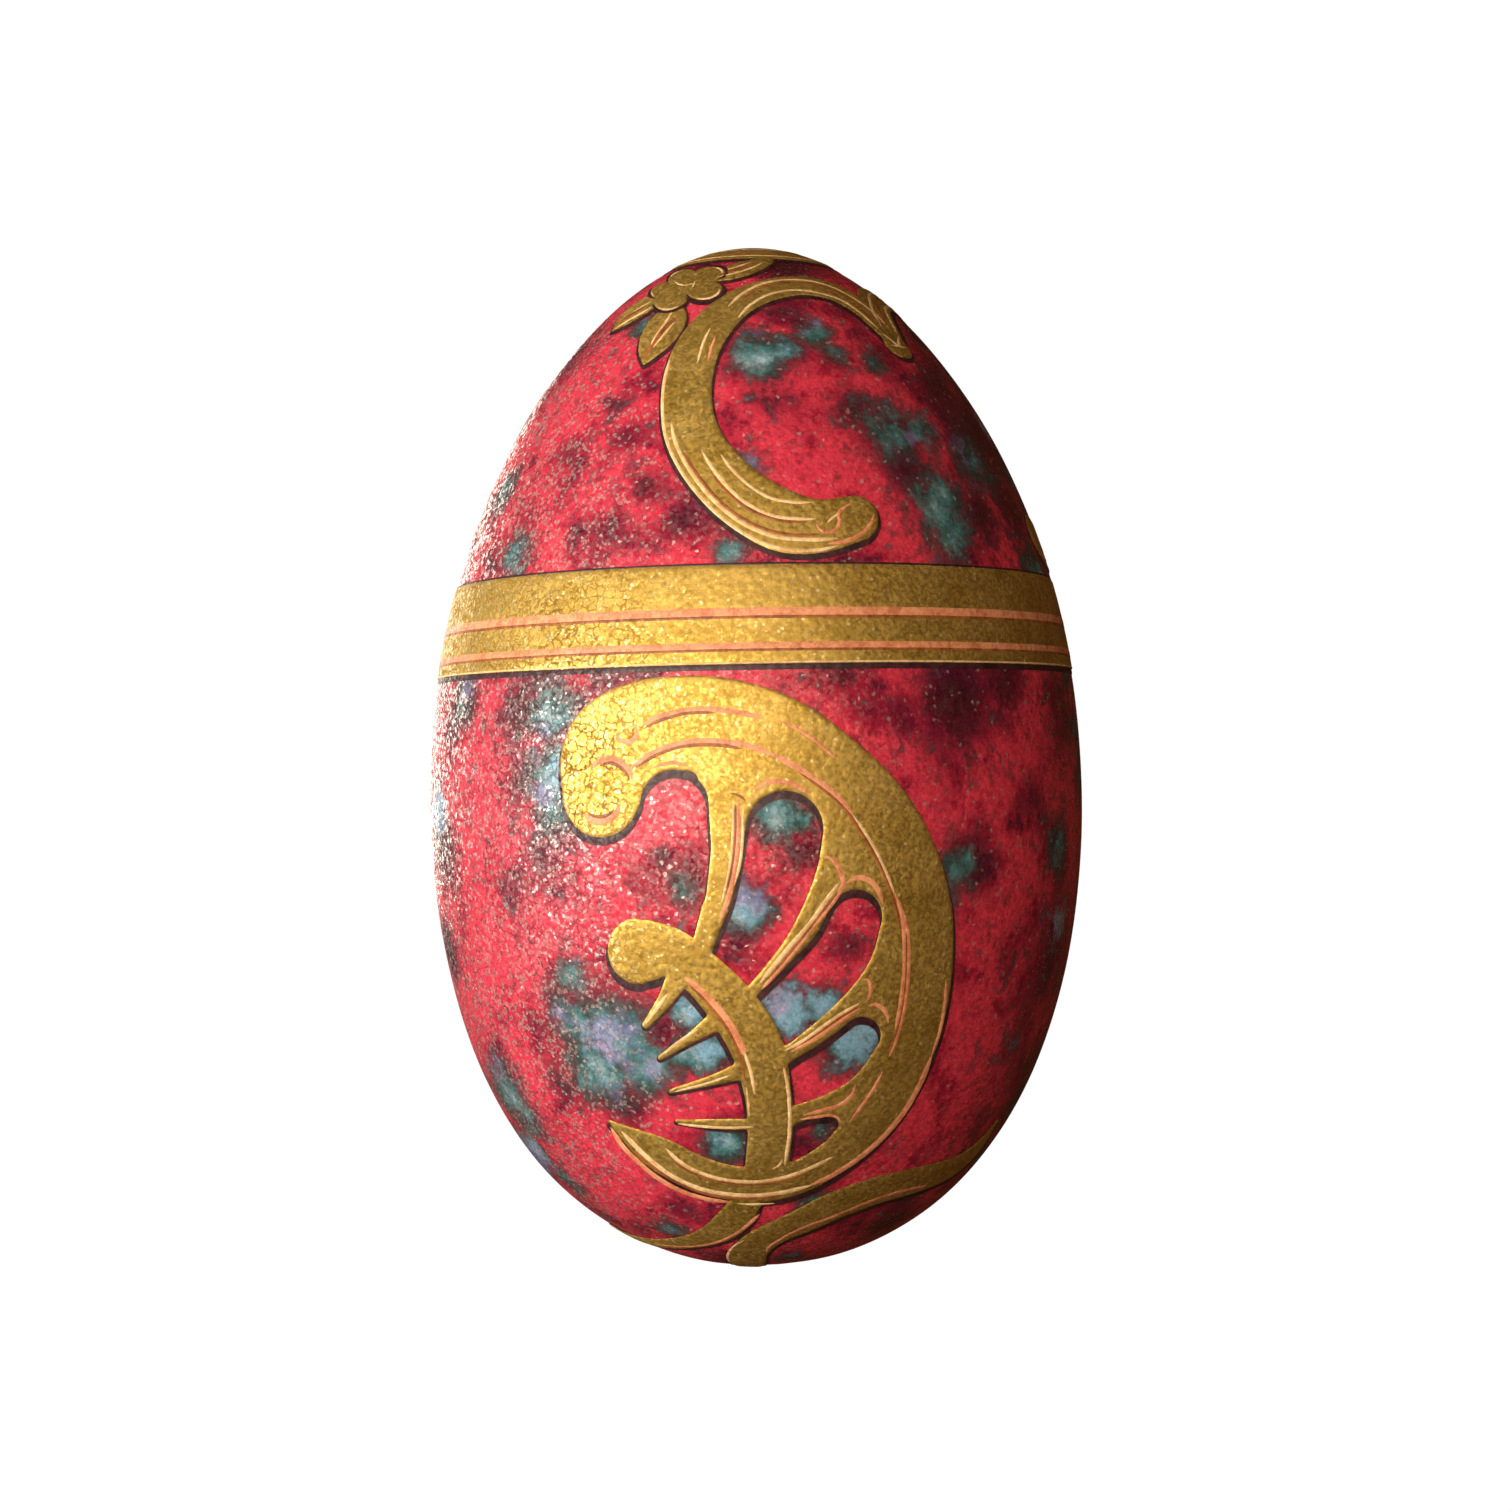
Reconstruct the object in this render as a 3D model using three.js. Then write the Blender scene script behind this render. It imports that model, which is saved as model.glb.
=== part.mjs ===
// A blown goose egg dressed in a printed shrink-film sleeve, taken apart into the pieces it is made of.
// Millimetres, +Z up the egg's axis, pointed end up, origin at the lowest point of the blunt end.
import * as THREE from 'three';

// Driving dimensions
const eggLength = 88;            // pole to pole, over the film
const eggFullness = 56.34;       // diameter of the oval before the tapers below narrow or widen it
const tipTaper = 0.085;          // how much the pointed half is narrower, first order
const middleFullness = 0.023;    // second order, fills both shoulders alike
const endTaper = 0.0735;         // third order, sharpens the tip and rounds the blunt end

const filmThickness = 0.1;       // shrunk film
const shellThickness = 0.6;      // goose shell
const outerMembraneThickness = 0.1;
const innerMembraneThickness = 0.06;
const layerGap = 0.04;           // between one layer and the next

const topOpening = 2.2;          // radius of the film's opening over the pointed end
const bottomOpening = 3.6;       // radius of the film's opening under the blunt end
const topHole = 1;               // radius of the blow hole at the pointed end
const bottomHole = 2;            // radius of the blow hole at the blunt end

const beadGap = 0.15;            // from a wax bead's rim to the film's edge
const beadRimDepth = 0.03;       // how far a bead's rim sits below the egg's oval
const stemGap = 0.1;             // from a bead's stem to the hole's wall
const stemReach = 0.5;           // how far a stem stands proud inside the shell

const airCellRadius = 12;        // where the inner membrane leaves the outer one
const airCellRise = 0.8;         // how far its middle stands above its rim
const airCellPuncture = 3;       // radius of the hole that blowing the egg left in it
const airCellSteps = 4;

const spans = 20;                // facets along the egg between the film's two edges
const sectors = 48;              // facets round the egg
const membraneCoarseness = 2;    // membranes take every second station and half the sectors
const bisections = 50;

// The egg's oval: an ellipse along the axis whose width follows a cubic of the height.
// angle runs from 0 at the pointed end to pi at the blunt end; x is the radius and y the height.
function ovalPoint(angle) {
  const along = Math.cos(angle);
  const width = 1 - tipTaper * along + middleFullness * along ** 2 - endTaper * along ** 3;
  const radius = eggFullness / 2 * Math.sin(angle) * width;
  return new THREE.Vector2(radius, eggLength / 2 * (1 + along));
}

// The angle at which the oval is as wide as radius, next to the pole at poleAngle (0 or pi).
function angleAtRadius(radius, poleAngle) {
  let near = poleAngle;
  let far = Math.PI / 2;
  for (let i = 0; i < bisections; i++) {
    const middle = (near + far) / 2;
    if (ovalPoint(middle).x < radius) near = middle;
    else far = middle;
  }
  return far;
}

// Stations down the egg that every layer shares, so that the facets of two layers stay parallel.
const topEdges = [topHole, topOpening - beadGap];
const bottomEdges = [bottomOpening - beadGap, bottomHole];
const filmStart = angleAtRadius(topOpening, 0);
const filmEnd = angleAtRadius(bottomOpening, Math.PI);
const filmAngles = Array.from({ length: spans + 1 }, (_, i) => filmStart + (filmEnd - filmStart) * i / spans);
const shellAngles = [
  ...topEdges.map(radius => angleAtRadius(radius, 0)),
  ...filmAngles,
  ...bottomEdges.map(radius => angleAtRadius(radius, Math.PI)),
];

// A path moved inwards by depth, each facet staying parallel to itself.
function inset(path, depth) {
  const normals = path.slice(1).map((point, i) => {
    const along = point.clone().sub(path[i]).normalize();
    return new THREE.Vector2(along.y, -along.x);
  });
  return path.map((point, i) => {
    const before = normals[Math.max(i - 1, 0)];
    const after = normals[Math.min(i, normals.length - 1)];
    const mitre = before.clone().add(after);
    mitre.multiplyScalar(2 / mitre.lengthSq());
    return point.clone().addScaledVector(mitre, depth);
  });
}

// Twice the area inside a closed profile, positive when it runs anticlockwise.
function turning(profile) {
  return profile.reduce((sum, point, i) => sum + point.cross(profile[(i + 1) % profile.length]), 0);
}

// A solid of revolution about Z; a profile that doesn't begin on the axis is closed on itself.
function revolve(profile, sectorCount) {
  const ordered = turning(profile) > 0 ? profile : [...profile].reverse();
  const points = ordered[0].x === 0 ? ordered : [...ordered, ordered[0].clone()];
  return new THREE.LatheGeometry(points, sectorCount).rotateX(Math.PI / 2);
}

// A layer of the egg between two depths under one path.
function layer(path, outerDepth, thickness, sectorCount) {
  const outside = inset(path, outerDepth);
  const inside = inset(path, outerDepth + thickness).reverse();
  return revolve([...outside, ...inside], sectorCount);
}

const filmPath = filmAngles.map(ovalPoint);
const shellPath = shellAngles.map(ovalPoint);
const membranePath = shellPath.filter((_, i) => i % membraneCoarseness === 0);

const shellDepth = filmThickness + layerGap;
const outerMembraneDepth = shellDepth + shellThickness + layerGap;
const innerMembraneDepth = outerMembraneDepth + outerMembraneThickness + layerGap;

function printedSleeve() {
  return layer(filmPath, 0, filmThickness, sectors);
}

function eggshell() {
  return layer(shellPath, shellDepth, shellThickness, sectors);
}

function outerMembrane() {
  return layer(membranePath, outerMembraneDepth, outerMembraneThickness, sectors / membraneCoarseness);
}

// The inner membrane lines the egg down to the air cell and then crosses it as a shallow dome.
function innerMembrane() {
  const lining = inset(membranePath, innerMembraneDepth);
  const walls = lining.filter(point => point.y > eggLength / 2 || point.x > airCellRadius);
  const last = walls[walls.length - 1];
  const next = lining[walls.length];
  const rim = last.clone().lerp(next, (last.x - airCellRadius) / (last.x - next.x));
  const dome = Array.from({ length: airCellSteps }, (_, i) => {
    const radius = airCellRadius + (airCellPuncture - airCellRadius) * (i + 1) / airCellSteps;
    return new THREE.Vector2(radius, rim.y + airCellRise * (1 - (radius / airCellRadius) ** 2));
  });
  const outside = [...walls, rim, ...dome];
  const inside = inset(outside, innerMembraneThickness).reverse();
  return revolve([...outside, ...inside], sectors / membraneCoarseness);
}

// A wax bead: a stem that plugs the blow hole under a head that lies on the shell, flush with the oval.
// edge is the hole's end of the shell path, rim the station beside it, poleHeight the oval's own pole.
function sealingBead(edge, rim, poleHeight) {
  const inwards = poleHeight > 0 ? -1 : 1;
  const holeOuter = inset(shellPath, shellDepth - layerGap).at(edge);
  const holeInner = inset(shellPath, shellDepth + shellThickness).at(edge);
  const seat = inset(shellPath, shellDepth - layerGap).at(rim);
  const rimTop = inset(shellPath, beadRimDepth).at(rim);
  const crown = inset(shellPath, beadRimDepth / 2).at(edge);
  const stemEnd = holeInner.y + inwards * stemReach;
  return revolve([
    new THREE.Vector2(0, stemEnd),
    new THREE.Vector2(holeInner.x - stemGap, stemEnd),
    new THREE.Vector2(holeOuter.x - stemGap, holeOuter.y),
    seat,
    rimTop,
    crown,
    new THREE.Vector2(0, poleHeight),
  ], sectors);
}

function addPiece(group, name, geometry, material) {
  const mesh = new THREE.Mesh(geometry, material);
  mesh.name = name;
  group.add(mesh);
}

const printedFilm = new THREE.MeshStandardMaterial({ color: 0x8e1a30, roughness: 0.28, metalness: 0.1 });
const bareShell = new THREE.MeshStandardMaterial({ color: 0xe9e2d3, roughness: 0.6, metalness: 0 });
const driedMembrane = new THREE.MeshStandardMaterial({ color: 0xe4d8bd, roughness: 0.75, metalness: 0 });
const sealingWax = new THREE.MeshStandardMaterial({ color: 0xe8d9ad, roughness: 0.45, metalness: 0 });

const egg = new THREE.Group();
addPiece(egg, 'printed_sleeve', printedSleeve(), printedFilm);
addPiece(egg, 'eggshell', eggshell(), bareShell);
addPiece(egg, 'outer_membrane', outerMembrane(), driedMembrane);
addPiece(egg, 'inner_membrane', innerMembrane(), driedMembrane);
addPiece(egg, 'top_hole_seal', sealingBead(0, 1, eggLength), sealingWax);
addPiece(egg, 'bottom_hole_seal', sealingBead(-1, -2, 0), sealingWax);

export default egg;
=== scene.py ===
import bpy
import math
import numpy as np
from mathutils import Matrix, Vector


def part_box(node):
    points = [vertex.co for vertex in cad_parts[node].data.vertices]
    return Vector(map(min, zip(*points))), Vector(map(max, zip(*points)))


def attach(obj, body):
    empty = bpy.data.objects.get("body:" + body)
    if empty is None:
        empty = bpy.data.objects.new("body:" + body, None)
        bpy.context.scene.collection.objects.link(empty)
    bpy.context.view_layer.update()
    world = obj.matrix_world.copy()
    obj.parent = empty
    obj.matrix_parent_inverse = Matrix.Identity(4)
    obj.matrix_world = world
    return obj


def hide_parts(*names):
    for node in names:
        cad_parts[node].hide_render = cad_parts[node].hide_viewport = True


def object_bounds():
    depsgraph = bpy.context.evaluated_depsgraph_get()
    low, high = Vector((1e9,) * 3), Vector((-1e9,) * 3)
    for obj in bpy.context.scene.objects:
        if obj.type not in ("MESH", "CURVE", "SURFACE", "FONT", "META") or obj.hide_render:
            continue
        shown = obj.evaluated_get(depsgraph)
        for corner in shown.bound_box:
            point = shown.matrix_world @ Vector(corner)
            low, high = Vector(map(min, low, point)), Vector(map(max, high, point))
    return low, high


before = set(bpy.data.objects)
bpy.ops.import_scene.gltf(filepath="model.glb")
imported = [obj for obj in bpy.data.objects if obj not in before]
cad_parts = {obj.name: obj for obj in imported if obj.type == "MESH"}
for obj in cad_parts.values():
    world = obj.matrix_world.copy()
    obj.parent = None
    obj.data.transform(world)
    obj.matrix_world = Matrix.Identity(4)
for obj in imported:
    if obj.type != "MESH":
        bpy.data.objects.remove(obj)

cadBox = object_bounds()
mm = 0.001
print("frame loaded")

view = {
    "distance": 210.3,      # mm from the lens to the egg's axis
    "height": 44.0,         # mm above the blunt end, level with the egg's middle
    "lens": 57.3,           # mm
    "sensor": 36.0,         # mm
    "clipStart": 0.01,      # m
    "roll": 0.45,           # degrees
}


def placeCamera():
    data = bpy.data.cameras.new("camera")
    data.lens = view["lens"]
    data.sensor_width = view["sensor"]
    data.clip_start = view["clipStart"]
    camera = bpy.data.objects.new("camera", data)
    camera.location = (0.0, -view["distance"]*mm, view["height"]*mm)
    camera.rotation_euler = (math.pi/2, math.radians(view["roll"]), 0.0)
    bpy.context.collection.objects.link(camera)
    bpy.context.scene.camera = camera


placeCamera()
bpy.context.scene.view_settings.view_transform = "Standard"

studio = {
    "paper": (1.0, 1.0, 1.0, 1.0),
    "paperGlow": 1.02,      # how bright the paper looks
    "bounce": 0.056,        # how much light the room and the paper throw back on the egg
    "bounceTint": (1.0, 0.36, 0.15, 1.0),
    "floorSize": 6.0,       # m
    "floorDrop": 0.0002,    # m below the egg
    "lamps": {              # azimuth and elevation in degrees, distance and size in mm, power in watts
        "softboxLeft": {"azimuth": -36, "elevation": 0, "distance": 430, "size": (430, 310), "power": 3.25,
                        "tint": (1.0, 0.88, 0.72)},
        "frontFill": {"azimuth": 3, "elevation": 6, "distance": 500, "size": (300, 460), "power": 1.12,
                      "tint": (1.0, 0.8, 0.58)},
        "glintLeft": {"azimuth": -70, "elevation": -10, "distance": 400, "size": (150, 250), "power": 2.8,
                      "tint": (1.0, 0.95, 0.88)},
        "softboxBack": {"azimuth": -156, "elevation": -3, "distance": 450, "size": (360, 340), "power": 1.8,
                        "tint": (1.0, 0.9, 0.76)},
    },
}


def fromAxis(azimuth, elevation, distance):
    # a point at that azimuth from the front and elevation, round the middle of the egg, in metres
    turn, rise = math.radians(azimuth), math.radians(elevation)
    reach = distance*mm*math.cos(rise)
    return (reach*math.sin(turn), -reach*math.cos(turn), view["height"]*mm + distance*mm*math.sin(rise))


def hangLamp(name, lamp):
    data = bpy.data.lights.new(name, "AREA")
    data.shape = "RECTANGLE"
    data.size, data.size_y = (side*mm for side in lamp["size"])
    data.energy = lamp["power"]
    data.color = lamp["tint"]
    light = bpy.data.objects.new(name, data)
    light.location = fromAxis(lamp["azimuth"], lamp["elevation"], lamp["distance"])
    light.rotation_euler = (math.radians(90 - lamp["elevation"]), 0.0, math.radians(lamp["azimuth"]))
    light.visible_camera = False
    bpy.context.collection.objects.link(light)


def newNode(tree, kind, inputs=None, **settings):
    # one node, with its settings and with its inputs given as values or as sockets to join
    node = tree.nodes.new(kind)
    for key, value in settings.items():
        setattr(node, key, value)
    for key, value in (inputs or {}).items():
        if isinstance(value, bpy.types.NodeSocket):
            tree.links.new(value, node.inputs[key])
        else:
            node.inputs[key].default_value = value
    return node


def paperTree(tree, output):
    # white where the camera sees it, dim where it lights the egg
    seen = newNode(tree, "ShaderNodeLightPath").outputs["Is Camera Ray"]
    kind = "ShaderNodeBackground" if output == "ShaderNodeOutputWorld" else "ShaderNodeEmission"
    glow = newNode(tree, kind, {"Color": studio["paper"], "Strength": studio["paperGlow"]})
    dim = newNode(tree, kind, {"Color": studio["bounceTint"], "Strength": studio["bounce"]})
    mix = newNode(tree, "ShaderNodeMixShader", {0: seen, 1: dim.outputs[0], 2: glow.outputs[0]})
    newNode(tree, output, {"Surface": mix.outputs[0]})


def buildStudio():
    world = bpy.data.worlds.new("softRoom")
    paper = bpy.data.materials.new("palePaper")
    for owner, output in ((world, "ShaderNodeOutputWorld"), (paper, "ShaderNodeOutputMaterial")):
        owner.use_nodes = True
        owner.node_tree.nodes.clear()
        paperTree(owner.node_tree, output)
    bpy.context.scene.world = world
    level = cadBox[0][2] - studio["floorDrop"]
    bpy.ops.mesh.primitive_plane_add(size=studio["floorSize"], location=(0.0, 0.0, level))
    floor = bpy.context.object
    floor.name = "floor"
    floor.data.materials.append(paper)
    for name, lamp in studio["lamps"].items():
        hangLamp(name, lamp)


buildStudio()
print("camera, paper and lamps placed")

egg = {
    "tipTaper": 0.085,        # the pointed half is narrower by this share, first order
    "middleFullness": 0.023,  # second order
    "endTaper": 0.0735,       # third order
    "tableSteps": 6000,       # rows of the table below
    "thinnest": 0.05,         # mm, keeps the poles from dividing by nothing
    "curveSteps": 24,         # points worked out between two rows of a path
}


def ovalTable():
    # an ellipse along the axis, its width a cubic of the height; y runs up the meridian from the girth, in mm
    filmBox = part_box("printed_sleeve")
    length = (cadBox[1][2] - cadBox[0][2])/mm
    girth = (filmBox[1][0] - filmBox[0][0])/mm
    along = np.cos(np.linspace(math.pi, 0.0, egg["tableSteps"]))
    width = 1 - egg["tipTaper"]*along + egg["middleFullness"]*along**2 - egg["endTaper"]*along**3
    radius = np.sqrt(1 - along**2)*width
    radius *= girth/2/radius.max()
    height = length/2*(1 + along)
    arc = np.concatenate([[0.0], np.cumsum(np.hypot(np.diff(radius), np.diff(height)))])
    arc -= arc[radius.argmax()]
    return {"arc": arc, "radius": radius, "height": height,
            "out": np.gradient(height, arc), "up": -np.gradient(radius, arc)}


oval = ovalTable()


def ovalAt(arc, column):
    return np.interp(arc, oval["arc"], oval[column])


def onEgg(x, y, lift=0.0, azimuth=0.0, flip=1):
    # x: mm round the egg at that height; y: mm up the meridian from the girth; lift: mm off the film.
    # Turned to an azimuth in degrees, and mirrored where flip is -1. Gives metres.
    radius = ovalAt(y, "radius")
    angle = math.radians(azimuth) + flip*x/np.maximum(radius, egg["thinnest"])
    reach = radius + lift*ovalAt(y, "out")
    height = ovalAt(y, "height") + lift*ovalAt(y, "up")
    return np.stack([reach*np.sin(angle), -reach*np.cos(angle), height], -1)*mm


def arcAtRadius(radius, upper):
    # how far up the meridian the egg is that wide, in its upper or lower half
    half = oval["arc"] > 0 if upper else oval["arc"] < 0
    order = np.argsort(oval["radius"][half])
    return np.interp(radius, oval["radius"][half][order], oval["arc"][half][order])


def smoothPath(points, step):
    # a curve through the rows given, in even steps; each span is a cubic whose end slopes come from the
    # rows beside it
    rows = np.asarray(points, float)
    padded = np.vstack([2*rows[0] - rows[1], rows, 2*rows[-1] - rows[-2]])
    t = np.linspace(0.0, 1.0, egg["curveSteps"], endpoint=False)[:, None, None]
    a, b, c, d = padded[:-3], padded[1:-2], padded[2:-1], padded[3:]
    spans = 0.5*(2*b + (c - a)*t + (2*a - 5*b + 4*c - d)*t**2 + (3*b - a - 3*c + d)*t**3)
    dense = np.vstack([spans.transpose(1, 0, 2).reshape(-1, rows.shape[1]), rows[-1:]])
    run = np.concatenate([[0.0], np.cumsum(np.hypot(*np.diff(dense[:, :2], axis=0).T))])
    stations = np.linspace(0.0, run[-1], max(int(run[-1]/step), 2) + 1)
    return np.stack([np.interp(stations, run, column) for column in dense.T], 1)


def newPiece(name, points, faces, material):
    # a smooth-shaded mesh that rides the egg's only body
    mesh = bpy.data.meshes.new(name)
    mesh.from_pydata(np.asarray(points).tolist(), [], faces)
    mesh.update()
    mesh.polygons.foreach_set("use_smooth", [True]*len(mesh.polygons))
    mesh.materials.append(material)
    piece = bpy.data.objects.new(name, mesh)
    bpy.context.collection.objects.link(piece)
    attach(piece, "root")
    return piece


def gridFaces(rows, columns, wrap=False, first=0):
    # four-sided faces of a grid whose points are stored row by row
    row, column = np.meshgrid(np.arange(rows - 1), np.arange(columns if wrap else columns - 1), indexing="ij")
    beside = (column + 1) % columns
    low, high = row*columns, (row + 1)*columns
    corners = [low + column, low + beside, high + beside, high + column]
    return (first + np.stack(corners, -1).reshape(-1, 4)).tolist()


def newGroup(name, numbers, results):
    # a node group fed by a place and by numbers, each with its default; gives the group and what feeds it
    tree = bpy.data.node_groups.new(name, "ShaderNodeTree")
    tree.interface.new_socket("Vector", in_out="INPUT", socket_type="NodeSocketVector")
    for label, value in numbers.items():
        socket = tree.interface.new_socket(label, in_out="INPUT", socket_type="NodeSocketFloat")
        socket.default_value = value
    for label in results:
        tree.interface.new_socket(label, in_out="OUTPUT", socket_type="NodeSocketFloat")
    return tree, newNode(tree, "NodeGroupInput").outputs


def closeGroup(tree, results):
    out = newNode(tree, "NodeGroupOutput")
    for label, socket in results.items():
        tree.links.new(socket, out.inputs[label])
    return tree


def calc(tree, operation, first, second=0.0, third=0.0, clamp=False):
    given = {0: first, 1: second, 2: third}
    return newNode(tree, "ShaderNodeMath", given, operation=operation, use_clamp=clamp).outputs[0]


def inCells(tree, vector, size):
    # object coordinates counted in cells of that many mm
    scale = calc(tree, "DIVIDE", 1/mm, size) if isinstance(size, bpy.types.NodeSocket) else 1/(size*mm)
    return newNode(tree, "ShaderNodeVectorMath", {0: vector, "Scale": scale}, operation="SCALE").outputs[0]


def vectorCalc(tree, operation, *values):
    return newNode(tree, "ShaderNodeVectorMath", dict(enumerate(values)), operation=operation).outputs


def noiseOf(tree, vector, size, detail=3.0, roughness=0.55):
    # noise whose features are about size mm across
    return newNode(tree, "ShaderNodeTexNoise", {"Vector": inCells(tree, vector, size), "Scale": 1.0,
                                                "Detail": detail, "Roughness": roughness}).outputs["Fac"]


def cellsOf(tree, vector, feature="F1", **inputs):
    # irregular cells about one unit across
    given = {"Vector": vector, "Scale": 1.0, **inputs}
    return newNode(tree, "ShaderNodeTexVoronoi", given, feature=feature).outputs


def ramp(tree, value, low, high, start=0.0, end=1.0):
    # a smooth step from start to end as the value goes from low to high
    given = {"Value": value, "From Min": low, "From Max": high, "To Min": start, "To Max": end}
    return newNode(tree, "ShaderNodeMapRange", given, interpolation_type="SMOOTHSTEP").outputs["Result"]


def mixColour(tree, share, first, second):
    return newNode(tree, "ShaderNodeMix", {0: share, 6: first, 7: second}, data_type="RGBA").outputs[2]


def bentBy(tree, spot, scale, amount):
    # the same place pushed about by noise, so that cells lose their straight sides
    drift = newNode(tree, "ShaderNodeTexNoise", {"Vector": spot, "Scale": scale, "Detail": 2.0})
    return vectorCalc(tree, "MULTIPLY_ADD", drift.outputs["Color"], (amount, amount, amount), spot)[0]


def shellPebbleGroup():
    # the shell's pebbles and pores felt through the film: rounded cells over slow waves
    tree, given = newGroup("shellPebble", {"Cell": 0.7}, ["Height"])
    cells = cellsOf(tree, inCells(tree, given["Vector"], given["Cell"]), "SMOOTH_F1", Smoothness=0.35)
    domes = ramp(tree, cells["Distance"], 0.1, 0.75, 1.0, 0.0)
    waves = noiseOf(tree, given["Vector"], 2.6, 3.0)
    height = calc(tree, "MULTIPLY_ADD", waves, 0.8, domes)
    return closeGroup(tree, {"Height": height})


def glintFacetsGroup():
    # crumpled foil under the ink: small ragged cells, each tipped its own way; some are flakes that the film
    # and gold colour pale as painted glints
    tree, given = newGroup("glintFacets", {"Cell": 0.3, "Share": 0.1, "FlakeTip": 2.0},
                           ["Height", "GlintFlake", "Gloss"])
    spot = bentBy(tree, inCells(tree, given["Vector"], given["Cell"]), 1.1, 0.9)
    cells = cellsOf(tree, spot)
    walls = cellsOf(tree, spot, "DISTANCE_TO_EDGE")
    fromMiddle = vectorCalc(tree, "SUBTRACT", spot, cells["Position"])[0]
    tip = vectorCalc(tree, "SUBTRACT", cells["Color"], (0.5, 0.5, 0.5))[0]
    slope = vectorCalc(tree, "DOT_PRODUCT", fromMiddle, tip)["Value"]
    pick = newNode(tree, "ShaderNodeSeparateColor", {0: cells["Color"]}).outputs[1]
    chosen = calc(tree, "LESS_THAN", pick, given["Share"])
    glintFlake = calc(tree, "MULTIPLY", chosen, ramp(tree, walls["Distance"], 0.03, 0.12))
    tipped = calc(tree, "MULTIPLY_ADD", chosen, given["FlakeTip"], 1.0)
    return closeGroup(tree, {"Height": calc(tree, "MULTIPLY", slope, tipped), "GlintFlake": glintFlake,
                             "Gloss": ramp(tree, pick, 0.3, 0.7)})


def crazingGroup():
    # the net of cracks in the ink: thin walls between bent cells, denser in patches
    tree, given = newGroup("inkCrazing", {"Cell": 0.8}, ["Cracks"])
    spot = bentBy(tree, inCells(tree, given["Vector"], given["Cell"]), 1.6, 0.9)
    lines = ramp(tree, cellsOf(tree, spot, "DISTANCE_TO_EDGE")["Distance"], 0.03, 0.11, 1.0, 0.0)
    patches = ramp(tree, noiseOf(tree, given["Vector"], 2.4, 3.0), 0.3, 0.55, 0.35, 1.0)
    return closeGroup(tree, {"Cracks": calc(tree, "MULTIPLY", lines, patches)})


def inkGrainGroup():
    # the ink's fine grain, and a mask of the few specks strewn in it
    tree, given = newGroup("inkGrain", {"Speck": 0.5}, ["Grain", "Specks"])
    grain = noiseOf(tree, given["Vector"], 0.3, 4.0, 0.7)
    specks = cellsOf(tree, inCells(tree, given["Vector"], given["Speck"]))
    dots = ramp(tree, specks["Distance"], 0.12, 0.3, 1.0, 0.0)
    pick = newNode(tree, "ShaderNodeSeparateColor", {0: specks["Color"]}).outputs[0]
    few = calc(tree, "LESS_THAN", pick, 0.16)
    return closeGroup(tree, {"Grain": grain, "Specks": calc(tree, "MULTIPLY", dots, few)})


shellPebble = shellPebbleGroup()
glintFacets = glintFacetsGroup()
inkCrazing = crazingGroup()
inkGrain = inkGrainGroup()


def placeGroup(tree, group, **inputs):
    return newNode(tree, "ShaderNodeGroup", inputs, node_tree=group).outputs


def newMaterial(name, **fixed):
    # fixed: values that are the same all over, set on the shader itself
    material = bpy.data.materials.new(name)
    material.use_nodes = True
    tree = material.node_tree
    shader = tree.nodes["Principled BSDF"]
    for key, value in fixed.items():
        shader.inputs[key].default_value = value
    place = newNode(tree, "ShaderNodeTexCoord").outputs["Object"]
    return material, tree, shader, place


def bumped(tree, shader, height, distance):
    # distance: mm of rise for a height of one
    bump = newNode(tree, "ShaderNodeBump", {"Height": height, "Strength": 1.0, "Distance": distance*mm})
    tree.links.new(bump.outputs[0], shader.inputs["Normal"])


relief = {
    "pebbleCell": 0.7,      # mm across a pebble of the shell
    "pebbleRise": 0.025,    # mm
    "crackCell": 0.8,       # mm across a cell of the crazing
    "crackDepth": 0.6,      # share of the pebbles' rise
    "crackDull": 0.5,       # roughness that a crack adds
    "litSideFrom": -2.0,     # mm to the side of the axis; beyond it, on the lit left side, the ink carries its cracks and the flakes' painted glints
    "litSideWidth": 16.0,    # mm over which the lit side's cracks and painted glints come in
    "fewCracks": 0.1,       # share of the cracks and painted glints left on the shaded side
}


def foiledRelief(tree, shader, place, foil):
    # pebbles, facets and cracks as bump, and some facets shinier than the rest;
    # gives where the glint flakes and the cracks are, both kept mostly to the lit left side
    pebble = placeGroup(tree, shellPebble, Vector=place, Cell=relief["pebbleCell"])["Height"]
    # the lit side: full towards the lamps on the left, so the pale flakes there act as painted glints
    aside = newNode(tree, "ShaderNodeSeparateXYZ", {0: place}).outputs[0]
    edge = relief["litSideFrom"]
    litSide = ramp(tree, aside, (edge - relief["litSideWidth"])*mm, edge*mm, 1.0, relief["fewCracks"])
    facets = placeGroup(tree, glintFacets, Vector=place, Cell=foil["cell"], FlakeTip=foil["flakeTip"],
                        Share=calc(tree, "MULTIPLY", litSide, foil["share"]))
    cracks = placeGroup(tree, inkCrazing, Vector=place, Cell=relief["crackCell"])["Cracks"]
    cracks = calc(tree, "MULTIPLY", cracks, litSide)
    height = calc(tree, "MULTIPLY_ADD", facets["Height"], foil["tip"], pebble)
    height = calc(tree, "MULTIPLY_ADD", cracks, -relief["crackDepth"], height)
    bumped(tree, shader, height, relief["pebbleRise"])
    shine = ramp(tree, facets["Gloss"], 0.0, 1.0, foil["shine"], foil["dull"])
    rough = calc(tree, "MULTIPLY_ADD", cracks, relief["crackDull"], shine, clamp=True)
    tree.links.new(rough, shader.inputs["Roughness"])
    return facets["GlintFlake"], cracks


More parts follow.
